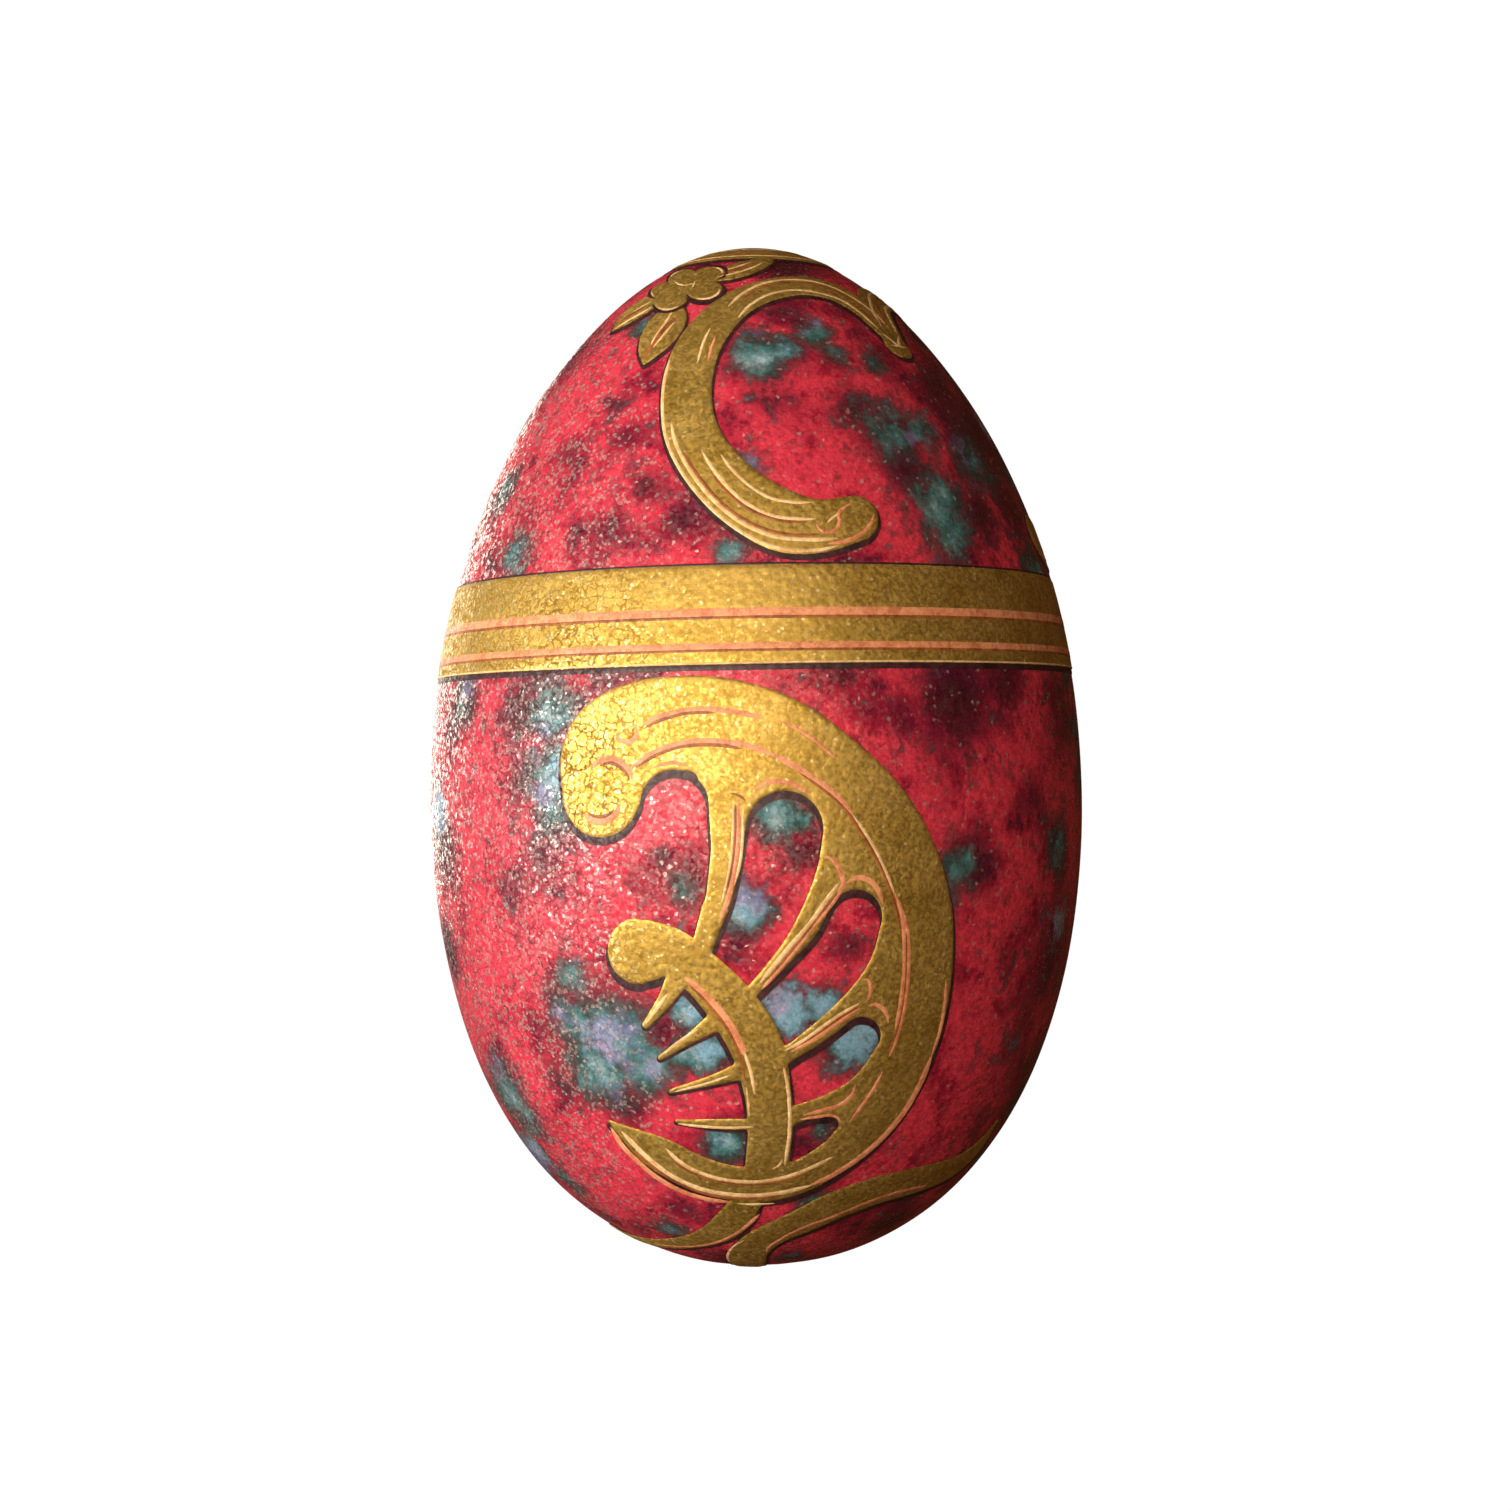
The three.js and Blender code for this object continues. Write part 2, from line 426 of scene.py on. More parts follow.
film = {
    "maroon": (0.105, 0.008, 0.028, 1.0),
    "crimson": (0.36, 0.012, 0.042, 1.0),
    "scarlet": (0.75, 0.045, 0.088, 1.0),
    "fringe": (0.065, 0.028, 0.036, 1.0),
    "deepTeal": (0.022, 0.066, 0.064, 1.0),
    "teal": (0.065, 0.2, 0.22, 1.0),
    "paleTeal": (0.33, 0.5, 0.58, 1.0),
    "violet": (0.3, 0.27, 0.6, 1.0),
    "sky": (0.22, 0.43, 0.62, 1.0),
    "lilac": (0.42, 0.38, 0.6, 1.0),
    "soot": (0.04, 0.006, 0.012, 1.0),
    # the flakes' pale colour: a painted glint, with a little real metal sheen from their metallic share
    "glintFlake": (0.95, 0.82, 0.78, 1.0),
    "speckCell": 0.6,               # mm
    "driftNoise": (1.7, 4.0, 0.58),     # each noise is a size in mm, its detail and its roughness
    "fineNoise": (0.55, 3.0, 0.6),
    "broadNoise": (5.0, 2.0, 0.5),
    "depthNoise": (2.2, 4.0, 0.6),
    "violetNoise": (4.2, 2.0),
    "freckleNoise": (0.8, 3.0, 0.6),
    "crimsonTone": (0.4, 0.64),         # each pair is where an ink begins to show and where it covers
    "scarletTone": (0.58, 0.86),
    "cloudEdge": (0.05, 0.9),
    "sootEdge": (0.6, 1.05),
    "fringeEdge": (-0.05, 0.55),
    "tealEdge": (0.2, 0.95),
    "tealDepth": (1.0, 1.4),
    "paleDepth": (1.32, 1.8),
    "violetPatch": (0.56, 0.7),
    "skyEdge": (0.2, 0.9),
    "freckleEdge": (0.6, 0.85),
    "grainEdge": (0.4, 0.75),
    "cracks": 0.6,                      # how strongly the cracks and the flakes' painted glints show
    "glintFlakes": 0.26,
    "foil": {"cell": 0.3, "share": 0.38, "tip": 2.9, "flakeTip": 0.6, "shine": 0.16, "dull": 0.42},
}


def inkOf(tree, name):
    # how much of that ink the sleeve carries at each point
    return newNode(tree, "ShaderNodeAttribute", attribute_name=name).outputs["Fac"]


def filmMaterial():
    # marbled ground: crimson with maroon clouds, teal blots with a dark fringe, sky-blue ones, soot freckles;
    # pale flakes painted as glints on the lit side; painted light and shade in some scarlet and dark blots
    material, tree, shader, place = newMaterial("printedFilm")
    grain = placeGroup(tree, inkGrain, Vector=place, Speck=film["speckCell"])["Grain"]
    drift = calc(tree, "SUBTRACT", noiseOf(tree, place, *film["driftNoise"]), 0.5)
    fine = calc(tree, "SUBTRACT", noiseOf(tree, place, *film["fineNoise"]), 0.5)
    fray = calc(tree, "MULTIPLY_ADD", drift, 1.4, calc(tree, "MULTIPLY", fine, 0.8))
    tone = calc(tree, "MULTIPLY", noiseOf(tree, place, *film["broadNoise"]), 1.5)
    # the scarlet blots lighten the tone: print, with painted light on the left and painted shade on the right
    for share, part in ((0.9, drift), (0.5, fine), (0.26, inkOf(tree, "scarletInkAndLighting"))):
        tone = calc(tree, "MULTIPLY_ADD", part, share, tone)
    ground = mixColour(tree, ramp(tree, tone, *film["crimsonTone"]), film["maroon"], film["crimson"])
    ground = mixColour(tree, ramp(tree, tone, *film["scarletTone"]), ground, film["scarlet"])

    # the dark blots: print, and painted shade on the far right flank
    dark = inkOf(tree, "darkInkAndShade")
    clouds = ramp(tree, calc(tree, "ADD", dark, fray), *film["cloudEdge"])
    sooty = ramp(tree, calc(tree, "ADD", dark, fine), *film["sootEdge"])
    cloud = mixColour(tree, sooty, film["maroon"], film["soot"])
    ground = mixColour(tree, calc(tree, "MULTIPLY", clouds, 0.92), ground, cloud)

    teal = inkOf(tree, "tealInk")
    blots = calc(tree, "ADD", teal, fray)
    ground = mixColour(tree, ramp(tree, blots, *film["fringeEdge"], 0.0, 0.8), ground, film["fringe"])
    depth = calc(tree, "MULTIPLY", teal, 0.6)
    depth = calc(tree, "MULTIPLY_ADD", noiseOf(tree, place, *film["depthNoise"]), 1.6, depth)
    inked = mixColour(tree, ramp(tree, depth, *film["tealDepth"]), film["deepTeal"], film["teal"])
    inked = mixColour(tree, ramp(tree, depth, *film["paleDepth"]), inked, film["paleTeal"])
    violet = ramp(tree, noiseOf(tree, place, *film["violetNoise"]), *film["violetPatch"])
    inked = mixColour(tree, calc(tree, "MULTIPLY", violet, 0.5), inked, film["violet"])
    ground = mixColour(tree, ramp(tree, blots, *film["tealEdge"]), ground, inked)

    blue = mixColour(tree, violet, film["sky"], film["lilac"])
    sky = calc(tree, "ADD", inkOf(tree, "skyInk"), fray)
    ground = mixColour(tree, ramp(tree, sky, *film["skyEdge"], 0.0, 0.85), ground, blue)

    freckles = ramp(tree, noiseOf(tree, place, *film["freckleNoise"]), *film["freckleEdge"], 0.0, 0.3)
    ground = mixColour(tree, freckles, ground, film["soot"])
    ground = mixColour(tree, ramp(tree, grain, *film["grainEdge"], 0.0, 0.25), ground, film["soot"])
    glintFlake, cracks = foiledRelief(tree, shader, place, film["foil"])
    ground = mixColour(tree, calc(tree, "MULTIPLY", cracks, film["cracks"]), ground, film["soot"])
    # the flakes turn pale and partly metallic: painted glints, mostly on the lit side
    glintFlakeShare = calc(tree, "MULTIPLY", glintFlake, film["glintFlakes"])
    tree.links.new(mixColour(tree, glintFlakeShare, ground, film["glintFlake"]), shader.inputs["Base Color"])
    tree.links.new(glintFlakeShare, shader.inputs["Metallic"])
    return material


gold = {
    "bright": (0.67, 0.465, 0.12, 1.0),
    "deep": (0.47, 0.3, 0.05, 1.0),
    "crack": (0.2, 0.09, 0.02, 1.0),
    # pale specks in the ink, and also the colour of the flakes' painted glints
    "speckAndGlint": (1.0, 0.9, 0.52, 1.0),
    "metallic": 0.82,
    "speckCell": 0.6,       # mm
    "patch": 3.5,           # mm across a brighter or deeper patch
    "tone": (0.34, 0.64),
    "specks": 0.6,          # how strongly the specks, the flakes' painted glints and the cracks show
    "glintFlakes": 0.5,
    "cracks": 0.34,
    "foil": {"cell": 0.22, "share": 0.18, "tip": 0.8, "flakeTip": 1.1, "shine": 0.4, "dull": 0.62},
}


def inkTone(tree, place, grain, patch):
    # half slow patches about that many mm across, half fine grain
    half = calc(tree, "MULTIPLY", grain, 0.5)
    return calc(tree, "MULTIPLY_ADD", noiseOf(tree, place, patch, 3.0), 0.5, half)


def goldMaterial():
    # metallic ink: even gold with a fine grain, pale specks, a net of cracks, and pale flakes painted as
    # glints
    material, tree, shader, place = newMaterial("goldInk", Metallic=gold["metallic"])
    grain = placeGroup(tree, inkGrain, Vector=place, Speck=gold["speckCell"])
    tone = inkTone(tree, place, grain["Grain"], gold["patch"])
    colour = mixColour(tree, ramp(tree, tone, *gold["tone"]), gold["deep"], gold["bright"])
    colour = mixColour(tree, calc(tree, "MULTIPLY", grain["Specks"], gold["specks"]), colour, gold["speckAndGlint"])
    glintFlake, cracks = foiledRelief(tree, shader, place, gold["foil"])
    # pale flakes, mostly on the lit side: painted glints
    colour = mixColour(tree, calc(tree, "MULTIPLY", glintFlake, gold["glintFlakes"]), colour, gold["speckAndGlint"])
    colour = mixColour(tree, calc(tree, "MULTIPLY", cracks, gold["cracks"]), colour, gold["crack"])
    tree.links.new(colour, shader.inputs["Base Color"])
    return material


accents = {
    "pale": {"coralInk": (0.84, 0.36, 0.19, 1.0), "creamInk": (0.92, 0.67, 0.36, 1.0),
             "umberInk": (0.4, 0.13, 0.03, 1.0), "shadeInk": (0.06, 0.016, 0.022, 1.0)},
    "deep": {"coralInk": (0.58, 0.19, 0.08, 1.0), "creamInk": (0.66, 0.4, 0.16, 1.0),
             "umberInk": (0.19, 0.055, 0.015, 1.0), "shadeInk": (0.018, 0.006, 0.009, 1.0)},
    "patch": 1.3,           # mm across a paler or deeper patch
    "tone": (0.38, 0.6),
    "foil": {**gold["foil"], "dull": 0.5},
}


def accentMaterial(name):
    # a printed line or shadow: two tones of one ink, broken up by the grain
    material, tree, shader, place = newMaterial(name)
    grain = placeGroup(tree, inkGrain, Vector=place, Speck=gold["speckCell"])["Grain"]
    tone = ramp(tree, inkTone(tree, place, grain, accents["patch"]), *accents["tone"])
    colour = mixColour(tree, tone, accents["deep"][name], accents["pale"][name])
    tree.links.new(colour, shader.inputs["Base Color"])
    foiledRelief(tree, shader, place, accents["foil"])
    return material


# the pieces seen at the two openings: pale, deep and pore colour, roughness, and mm across a patch
inside = {
    "gooseShell": ((0.83, 0.79, 0.7, 1.0), (0.72, 0.66, 0.54, 1.0), (0.42, 0.36, 0.27, 1.0), 0.6, 3.0),
    "driedMembrane": ((0.8, 0.72, 0.55, 1.0), (0.68, 0.57, 0.38, 1.0), (0.5, 0.4, 0.26, 1.0), 0.8, 1.6),
    "beeswax": ((0.82, 0.66, 0.34, 1.0), (0.66, 0.47, 0.2, 1.0), (0.5, 0.33, 0.13, 1.0), 0.42, 1.2),
}
poreCell, pebbleCell, poreRise = 0.55, 0.6, 0.02    # mm


def bareMaterial(name, pale, deep, pore, roughness, patch):
    # shell, membrane or wax: two tones in soft patches, with small dark pores
    material, tree, shader, place = newMaterial(name)
    patches = noiseOf(tree, place, patch, 4.0, 0.6)
    pits = ramp(tree, cellsOf(tree, inCells(tree, place, poreCell))["Distance"], 0.05, 0.2, 1.0, 0.0)
    colour = mixColour(tree, ramp(tree, patches, 0.35, 0.65), deep, pale)
    colour = mixColour(tree, calc(tree, "MULTIPLY", pits, 0.5), colour, pore)
    tree.links.new(colour, shader.inputs["Base Color"])
    tree.links.new(calc(tree, "MULTIPLY_ADD", patches, 0.2, roughness - 0.1), shader.inputs["Roughness"])
    pebble = placeGroup(tree, shellPebble, Vector=place, Cell=pebbleCell)["Height"]
    bumped(tree, shader, calc(tree, "SUBTRACT", pebble, pits), poreRise)
    return material


def finishInside():
    shell, skin, wax = (bareMaterial(name, *values) for name, values in inside.items())
    finishes = {"eggshell": shell, "outer_membrane": skin, "inner_membrane": skin,
                "top_hole_seal": wax, "bottom_hole_seal": wax}
    for name, material in finishes.items():
        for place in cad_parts[name].material_slots:
            place.material = material


filmPrint = filmMaterial()
goldInk = goldMaterial()
inks = {  # each ink's material and slot
    "coral": (accentMaterial("coralInk"), "coral_line"),
    "cream": (accentMaterial("creamInk"), "coral_line"),
    "umber": (accentMaterial("umberInk"), "shadow_line"),
    "shade": (accentMaterial("shadeInk"), "shadow_line"),
}
finishInside()
print("materials built")

sleeve = {
    "topOpening": 2.2, "bottomOpening": 3.6, "thickness": 0.1,      # radii and thickness, mm
    "columns": 420, "rows": 216, "insideRows": 14,
    "seamAzimuth": -118.0,                      # degrees
    "seamWidth": 4.0, "seamRise": 0.09, "seamSoftness": 0.12,       # mm
    "gathers": 17, "gatherRise": 0.1, "gatherReach": 2.2,           # how many, and mm
    "unevenness": 0.03,     # mm
    "blotFade": 0.7,        # how quickly a blot's ink thins towards its radius
}

inkBlots = {  # x mm round from the front, y mm up from the girth, radius mm, strength
    "tealInk": [
        (0.6, 38.2, 2.1, 1.2), (2.6, 38.8, 1.4, 1.0), (5.0, 40.7, 1.6, 0.95), (6.8, 38.6, 1.2, 0.8),
        (10.5, 37.6, 1.2, 0.8), (11.2, 30.6, 2.6, 0.85), (14.2, 31.2, 2.2, 0.75), (16.2, 24.4, 2.9, 0.95),
        (16.8, 21.6, 2.1, 0.9), (14.4, 24.6, 1.6, 0.8), (21.0, 28.6, 2.6, 0.8), (-0.8, 27.4, 1.3, 0.8),
        (-1.9, 20.0, 1.2, 0.9), (-9.4, 42.4, 1.3, 0.9), (-22.0, 20.6, 1.8, 0.9), (-25.4, 26.6, 1.9, 0.8),
        (-28.4, 9.0, 2.2, 0.8), (-16.8, 7.6, 2.3, 1.0), (-16.6, 2.6, 2.3, 1.2), (-16.9, -0.8, 1.8, 0.9),
        (1.6, -0.4, 1.7, 1.1), (3.4, -0.9, 1.0, 0.9), (-0.9, -7.6, 1.8, 1.2), (-5.3, -6.0, 1.5, 0.7),
        (2.2, -15.8, 1.8, 1.3), (4.8, -15.4, 1.6, 1.2), (7.4, -18.2, 2.0, 1.3), (9.0, -17.6, 1.2, 1.1),
        (-11.2, -18.2, 2.9, 1.3), (-13.2, -20.8, 2.6, 1.2), (-9.3, -20.4, 2.3, 1.2), (-14.8, -17.2, 2.3, 1.0),
        (-15.4, -13.2, 1.7, 0.8), (-5.2, -15.6, 1.5, 1.2), (-4.2, -19.0, 1.7, 1.3), (-6.0, -19.2, 1.2, 1.1),
        (-2.6, -27.4, 1.7, 1.2), (4.9, -26.2, 1.0, 0.9), (16.6, -4.8, 2.0, 0.85), (15.4, -7.0, 1.3, 0.8),
        (-25.2, -24.6, 2.9, 1.0), (-22.6, -26.6, 1.9, 0.9), (-19.2, -33.2, 1.7, 0.8), (-7.6, -38.4, 1.4, 0.8),
        (4.2, -34.0, 1.6, 0.7), (30.0, -3.6, 2.2, 0.8), (24.0, -20.0, 1.7, 0.5), (2.6, -43.8, 1.4, 0.8),
    ],
    # maroon and soot blots of the print; the wide ones far out on the right flank, x 26 mm and more, are
    # painted shade
    "darkInkAndShade": [
        (16.4, 7.8, 3.6, 1.1), (11.6, 6.8, 1.8, 0.8), (6.4, 10.2, 2.4, 0.8), (22.0, 9.4, 3.2, 0.9),
        (-8.5, 25.6, 1.9, 0.9), (-5.5, 22.8, 1.7, 0.9), (-11.8, 33.8, 1.7, 0.7), (-10.2, 30.6, 1.6, 0.8),
        (-11.5, 22.6, 1.6, 0.8), (2.0, 43.0, 1.9, 0.8), (8.2, 44.6, 2.0, 0.7), (2.6, 50.5, 3.0, 1.0),
        (18.0, 36.0, 3.2, 1.0), (24.0, 31.0, 3.8, 1.1), (8.4, 32.6, 1.8, 0.9), (12.8, 27.6, 2.2, 0.9),
        (20.6, 23.6, 2.8, 1.0), (26.0, 25.0, 3.5, 1.0), (1.6, 33.8, 2.0, 0.8), (-16.0, 29.5, 1.5, 0.4),
        (-20.6, 7.4, 2.6, 1.0), (-19.8, 1.4, 2.0, 0.9), (-18.4, -3.6, 1.8, 0.8), (-12.0, 10.0, 2.0, 0.9),
        (-8.0, 10.6, 1.6, 0.8), (3.8, -3.6, 1.5, 0.9), (2.0, -6.6, 1.3, 0.6), (7.4, -11.0, 1.4, 0.7),
        (-13.6, -20.7, 0.7, 1.5), (-8.9, -20.6, 0.6, 1.4), (-17.2, -15.6, 1.4, 0.8), (-10.2, -24.0, 1.6, 0.9),
        (-16.6, -23.0, 1.5, 0.8), (-21.4, -6.2, 2.0, 0.8), (-6.5, -34.4, 1.5, 0.7), (12.6, -35.6, 2.8, 0.8),
        (12.0, -38.6, 2.6, 1.0), (-11.0, -38.6, 1.4, 0.7), (22.5, -13.0, 2.0, 0.5), (26.0, 0.0, 2.4, 0.7),
        (3.4, -27.2, 1.0, 0.9), (28.0, 30.0, 4.0, 0.9), (32.0, 8.0, 5.0, 0.7), (31.0, -12.0, 6.0, 0.7),
        (29.0, -25.0, 5.0, 0.5), (21.0, -27.0, 2.6, 0.6),
    ],
    # bright red blots of the print; the strong wide ones on the lit left are painted light, the weak ones on
    # the right painted shade
    "scarletInkAndLighting": [
        (-24.5, 0.5, 4.5, 1.0), (-23.0, -14.0, 6.0, 1.0), (-17.0, -9.0, 3.5, 0.8), (-21.0, 34.0, 6.0, 0.8),
        (-13.0, 38.0, 4.0, 0.9), (-15.0, 26.0, 4.0, 0.8), (-16.5, -29.0, 5.0, 1.0), (-10.0, -33.5, 3.0, 0.8),
        (-7.0, -1.6, 2.6, 1.0), (-10.5, -7.5, 3.4, 0.9), (-7.6, -13.0, 2.0, 0.7), (3.4, -10.4, 2.2, 0.9),
        (7.4, -8.6, 1.6, 0.8), (5.6, 35.6, 2.0, 0.4), (7.4, 28.0, 2.8, 0.5), (2.4, 29.6, 2.0, 0.5),
        (10.0, 35.0, 2.0, 0.4), (11.4, 22.0, 2.4, 0.7), (23.0, 3.6, 3.0, 0.5), (24.0, -9.0, 4.0, 0.4),
        (18.6, -12.6, 3.0, 0.6), (19.0, -21.0, 3.2, 0.5), (-3.6, -23.0, 1.8, 1.0), (3.4, -18.8, 1.4, 0.9),
        (8.0, -34.0, 2.4, 0.6), (2.0, -35.6, 2.0, 0.7), (-28.0, 20.0, 3.5, 0.6),
    ],
    "skyInk": [
        (2.4, -15.9, 1.7, 1.0), (4.8, -15.2, 1.3, 0.9), (7.6, -18.0, 1.7, 1.1), (-4.9, -15.7, 1.1, 0.9),
        (-3.9, -18.9, 1.1, 0.9), (-0.9, -7.8, 1.3, 0.7), (-3.4, -27.2, 1.2, 0.5), (-12.4, -18.8, 1.6, 0.6),
        (1.6, 0.2, 0.9, 0.4), (2.8, 38.4, 1.3, 0.5), (-16.2, 3.0, 1.5, 0.6),
    ],
}
scatter = {  # how many blots are strewn over the sides and back, and their radii in mm
    "seed": 11, "frontEdge": 62.0,
    "tealInk": (120, 1.3, 3.2), "darkInkAndShade": (130, 1.3, 3.6), "scarletInkAndLighting": (70, 2.5, 6.0),
    "skyInk": (24, 1.0, 1.8),
}


def scatterBlots(count, least, most, generator):
    # blots on the sides and back, even over the surface, as rows like those above
    share = np.linspace(0.0, 1.0, 200)
    areaUp = np.cumsum(oval["radius"])/oval["radius"].sum()
    arc = np.interp(generator.random(count), share, np.interp(share, areaUp, oval["arc"]))
    angle = np.radians(scatter["frontEdge"] + generator.random(count)*(360 - 2*scatter["frontEdge"]))
    size = least + generator.random(count)**1.5*(most - least)
    return np.stack([angle*ovalAt(arc, "radius"), arc, size, 0.6 + 0.6*generator.random(count)], 1)


def inkAt(points, blots):
    # strength times a bell of the distance over the radius, the strongest blot winning
    blots = np.asarray(blots)
    centres = onEgg(blots[:, 0], blots[:, 1])
    strength = np.zeros(len(points))
    for centre, radius, power in zip(centres, blots[:, 2], blots[:, 3]):
        reach = np.linalg.norm(points - centre, axis=1)/mm/radius
        strength = np.maximum(strength, power*np.exp(-sleeve["blotFade"]*reach**2))
    return strength


def sleeveRise(azimuth, arc, fromRim):
    # gathers that fade away from the rims, the lap seam, and a slow unevenness, in mm
    fade = np.exp(-(fromRim/sleeve["gatherReach"])**2)
    ripple = np.cos(sleeve["gathers"]*azimuth + 1.3*np.sin(3*azimuth))*fade
    turn = azimuth - math.radians(sleeve["seamAzimuth"])
    fromSeam = np.abs(np.angle(np.exp(1j*turn)))*ovalAt(arc, "radius")
    seam = 1/(1 + np.exp((fromSeam - sleeve["seamWidth"]/2)/sleeve["seamSoftness"]))
    swell = np.sin(5*azimuth + 0.21*arc)*np.sin(0.33*arc - 2*azimuth) + np.sin(3*azimuth - 0.17*arc + 1)
    return (sleeve["gatherRise"]*(ripple - 1)*fade + sleeve["seamRise"]*seam
            + sleeve["unevenness"]*(swell - 2)/2)


def sleeveSkin():
    # the egg's surface swept over azimuth and arc, out over the film and back under it, closed at both rims
    top, bottom = arcAtRadius(sleeve["topOpening"], True), arcAtRadius(sleeve["bottomOpening"], False)
    outside = np.linspace(bottom, top, sleeve["rows"])
    inside = np.linspace(top, bottom, sleeve["insideRows"])
    arc = np.concatenate([outside, inside])[:, None]
    depth = np.concatenate([np.zeros(len(outside)), np.full(len(inside), sleeve["thickness"])])[:, None]
    azimuth = np.linspace(-math.pi, math.pi, sleeve["columns"], endpoint=False)[None, :]
    lift = sleeveRise(azimuth, arc, np.minimum(top - arc, arc - bottom)) - depth
    x = azimuth*ovalAt(arc, "radius")
    points = onEgg(x, arc + 0*azimuth, lift).reshape(-1, 3)
    rows = len(arc)
    faces = gridFaces(rows, sleeve["columns"], wrap=True)
    last = (rows - 1)*sleeve["columns"]
    column = np.arange(sleeve["columns"])
    beside = (column + 1) % sleeve["columns"]
    faces += np.stack([last + column, last + beside, beside, column], -1).tolist()
    piece = newPiece("printedSleeve", points, faces, filmPrint)
    generator = np.random.default_rng(scatter["seed"])
    for ink, blots in inkBlots.items():
        rows = np.vstack([blots, scatterBlots(*scatter[ink], generator)])
        layer = piece.data.attributes.new(ink, "FLOAT", "POINT")
        layer.data.foreach_set("value", inkAt(points, rows).astype(np.float32))
    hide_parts("printed_sleeve")


sleeveSkin()
print("sleeve shrunk on")

# each printed shape is a field over a flat sheet, negative inside, that is cut out and laid on the egg
press = {
    "cell": 0.15,           # mm between two points of the sheet
    "strokeStep": 0.6,      # mm between two points of a centre line
    "goldLift": 0.02,       # mm above the film, and the same for the shadow and the lines
    "goldRise": 0.07,       # mm, the gold's own thickness
    "bevel": 0.4,           # mm, how wide the gold's rounded edge is
    "shadeLift": 0.012,
    "underlap": 0.3,        # mm that a shadow runs in under its gold
    "lineLift": 0.085,
    "lineRise": 0.03,       # mm, how high the ridge of a line is
    "lineStep": 0.22,       # mm between two points along a line
    "lineColumns": 5,       # points across a line
    "taper": 1.2,           # mm that a line takes to reach its full width
    "umberSink": 0.005,     # mm that an umber hoop lies below a coral one
    "coralWeight": 1.2, "creamWeight": 1.15, "umberWeight": 1.8, "shadeWeight": 1.2,    # times the half width
}


def sheetGrid(left, right, low, high):
    cell = press["cell"]
    return np.meshgrid(np.arange(left, right, cell), np.arange(low, high, cell))


def stroke(grid, points):
    # distance to a smooth centre line less its half width there, in mm
    path = smoothPath(points, press["strokeStep"]).astype(np.float32)
    spots = np.stack([grid[0].ravel(), grid[1].ravel()], 1).astype(np.float32)
    start, along = path[:-1], np.diff(path, axis=0)
    span = (along[:, :2]**2).sum(1)
    away = spots[:, None, :] - start[None, :, :2]
    share = np.clip((away*along[None, :, :2]).sum(2)/span, 0, 1)
    gap = np.linalg.norm(away - share[..., None]*along[None, :, :2], axis=2) - start[:, 2] - share*along[:, 2]
    return gap.min(1).reshape(grid[0].shape).astype(float)


def joined(first, second, fillet):
    # the union of two shapes with its inner corners filled
    share = np.clip(0.5 + 0.5*(second - first)/fillet, 0, 1)
    return second + (first - second)*share - fillet*share*(1 - share)


def cutOut(field, grid):
    # the part of the sheet where the field is negative, each cell cut along the straight line between the
    # crossings on its sides: the points as x and y, the faces, and the field at each point
    rows, columns = field.shape
    x, y = grid
    inside = field < 0
    number = np.arange(rows*columns).reshape(rows, columns)
    across = number[:, :-1] + rows*columns
    upward = number[:-1, :] + 2*rows*columns
    crossedX = inside[:, :-1] != inside[:, 1:]
    crossedY = inside[:-1] != inside[1:]
    shareX = np.clip(field[:, :-1]/np.where(crossedX, field[:, :-1] - field[:, 1:], 1), 0, 1)
    shareY = np.clip(field[:-1]/np.where(crossedY, field[:-1] - field[1:], 1), 0, 1)
    total = 3*rows*columns
    spots, depth = np.zeros((total, 2)), np.zeros(total)
    spots[number], depth[number] = np.stack([x, y], -1), np.minimum(field, 0)
    spots[across] = np.stack([x[:, :-1] + shareX*(x[:, 1:] - x[:, :-1]), y[:, :-1]], -1)
    spots[upward] = np.stack([x[:-1], y[:-1] + shareY*(y[1:] - y[:-1])], -1)
    corner = [number[:-1, :-1], number[:-1, 1:], number[1:, 1:], number[1:, :-1]]
    side = [across[:-1], upward[:, 1:], across[1:], upward[:, :-1]]
    within = [inside[:-1, :-1], inside[:-1, 1:], inside[1:, 1:], inside[1:, :-1]]
    kind = sum(within[k].astype(int) << k for k in range(4))
    faces = []
    for case in range(1, 16):
        walk = []
        for k in range(4):
            if case >> k & 1:
                walk.append(corner[k])
            if (case >> k & 1) != (case >> (k + 1) % 4 & 1):
                walk.append(side[k])
        chosen = kind == case
        faces.append(np.stack([ids[chosen] for ids in walk], -1))
    used, where = np.unique(np.concatenate([block.ravel() for block in faces]), return_inverse=True)
    cut, done = [], 0
    for block in faces:
        cut += where[done:done + block.size].reshape(block.shape).tolist()
        done += block.size
    return spots[used], cut, depth[used]


def layOn(name, field, grid, placings, liftOf, material, slot):
    # one cut-out laid on the egg at each azimuth, mirrored where flip is -1
    spots, cut, depth = cutOut(field, grid)
    points, faces = [], []
    for azimuth, flip in placings:
        first = sum(len(block) for block in points)
        points.append(onEgg(spots[:, 0], spots[:, 1], liftOf(depth), azimuth, flip))
        faces += [[first + k for k in (face if flip > 0 else face[::-1])] for face in cut]
    newPiece(name, np.concatenate(points), faces, material)


def goldLift(depth):
    # a thin plate with a rounded edge
    share = np.clip(-depth/press["bevel"], 0, 1)
    return press["goldLift"] + press["goldRise"]*np.sqrt(1 - (1 - share)**2)


def shadeLift(depth):
    # a flat print, the same all over
    return press["shadeLift"] + 0*depth


def fallen(field, drop, spread):
    # the shape moved down by drop and grown by spread, in mm
    rows = round(drop/press["cell"])
    return np.pad(field, ((0, rows), (0, 0)), mode="edge")[rows:] - spread


def printGold(name, field, grid, placings, shade):
    # the gold itself, and the dark shadow printed below it
    layOn(name + "Gold", field, grid, placings, goldLift, goldInk, "gold_print")
    shade = np.maximum(shade, -press["underlap"] - field)
    layOn(name + "Shade", shade, grid, placings, shadeLift, *inks["shade"])


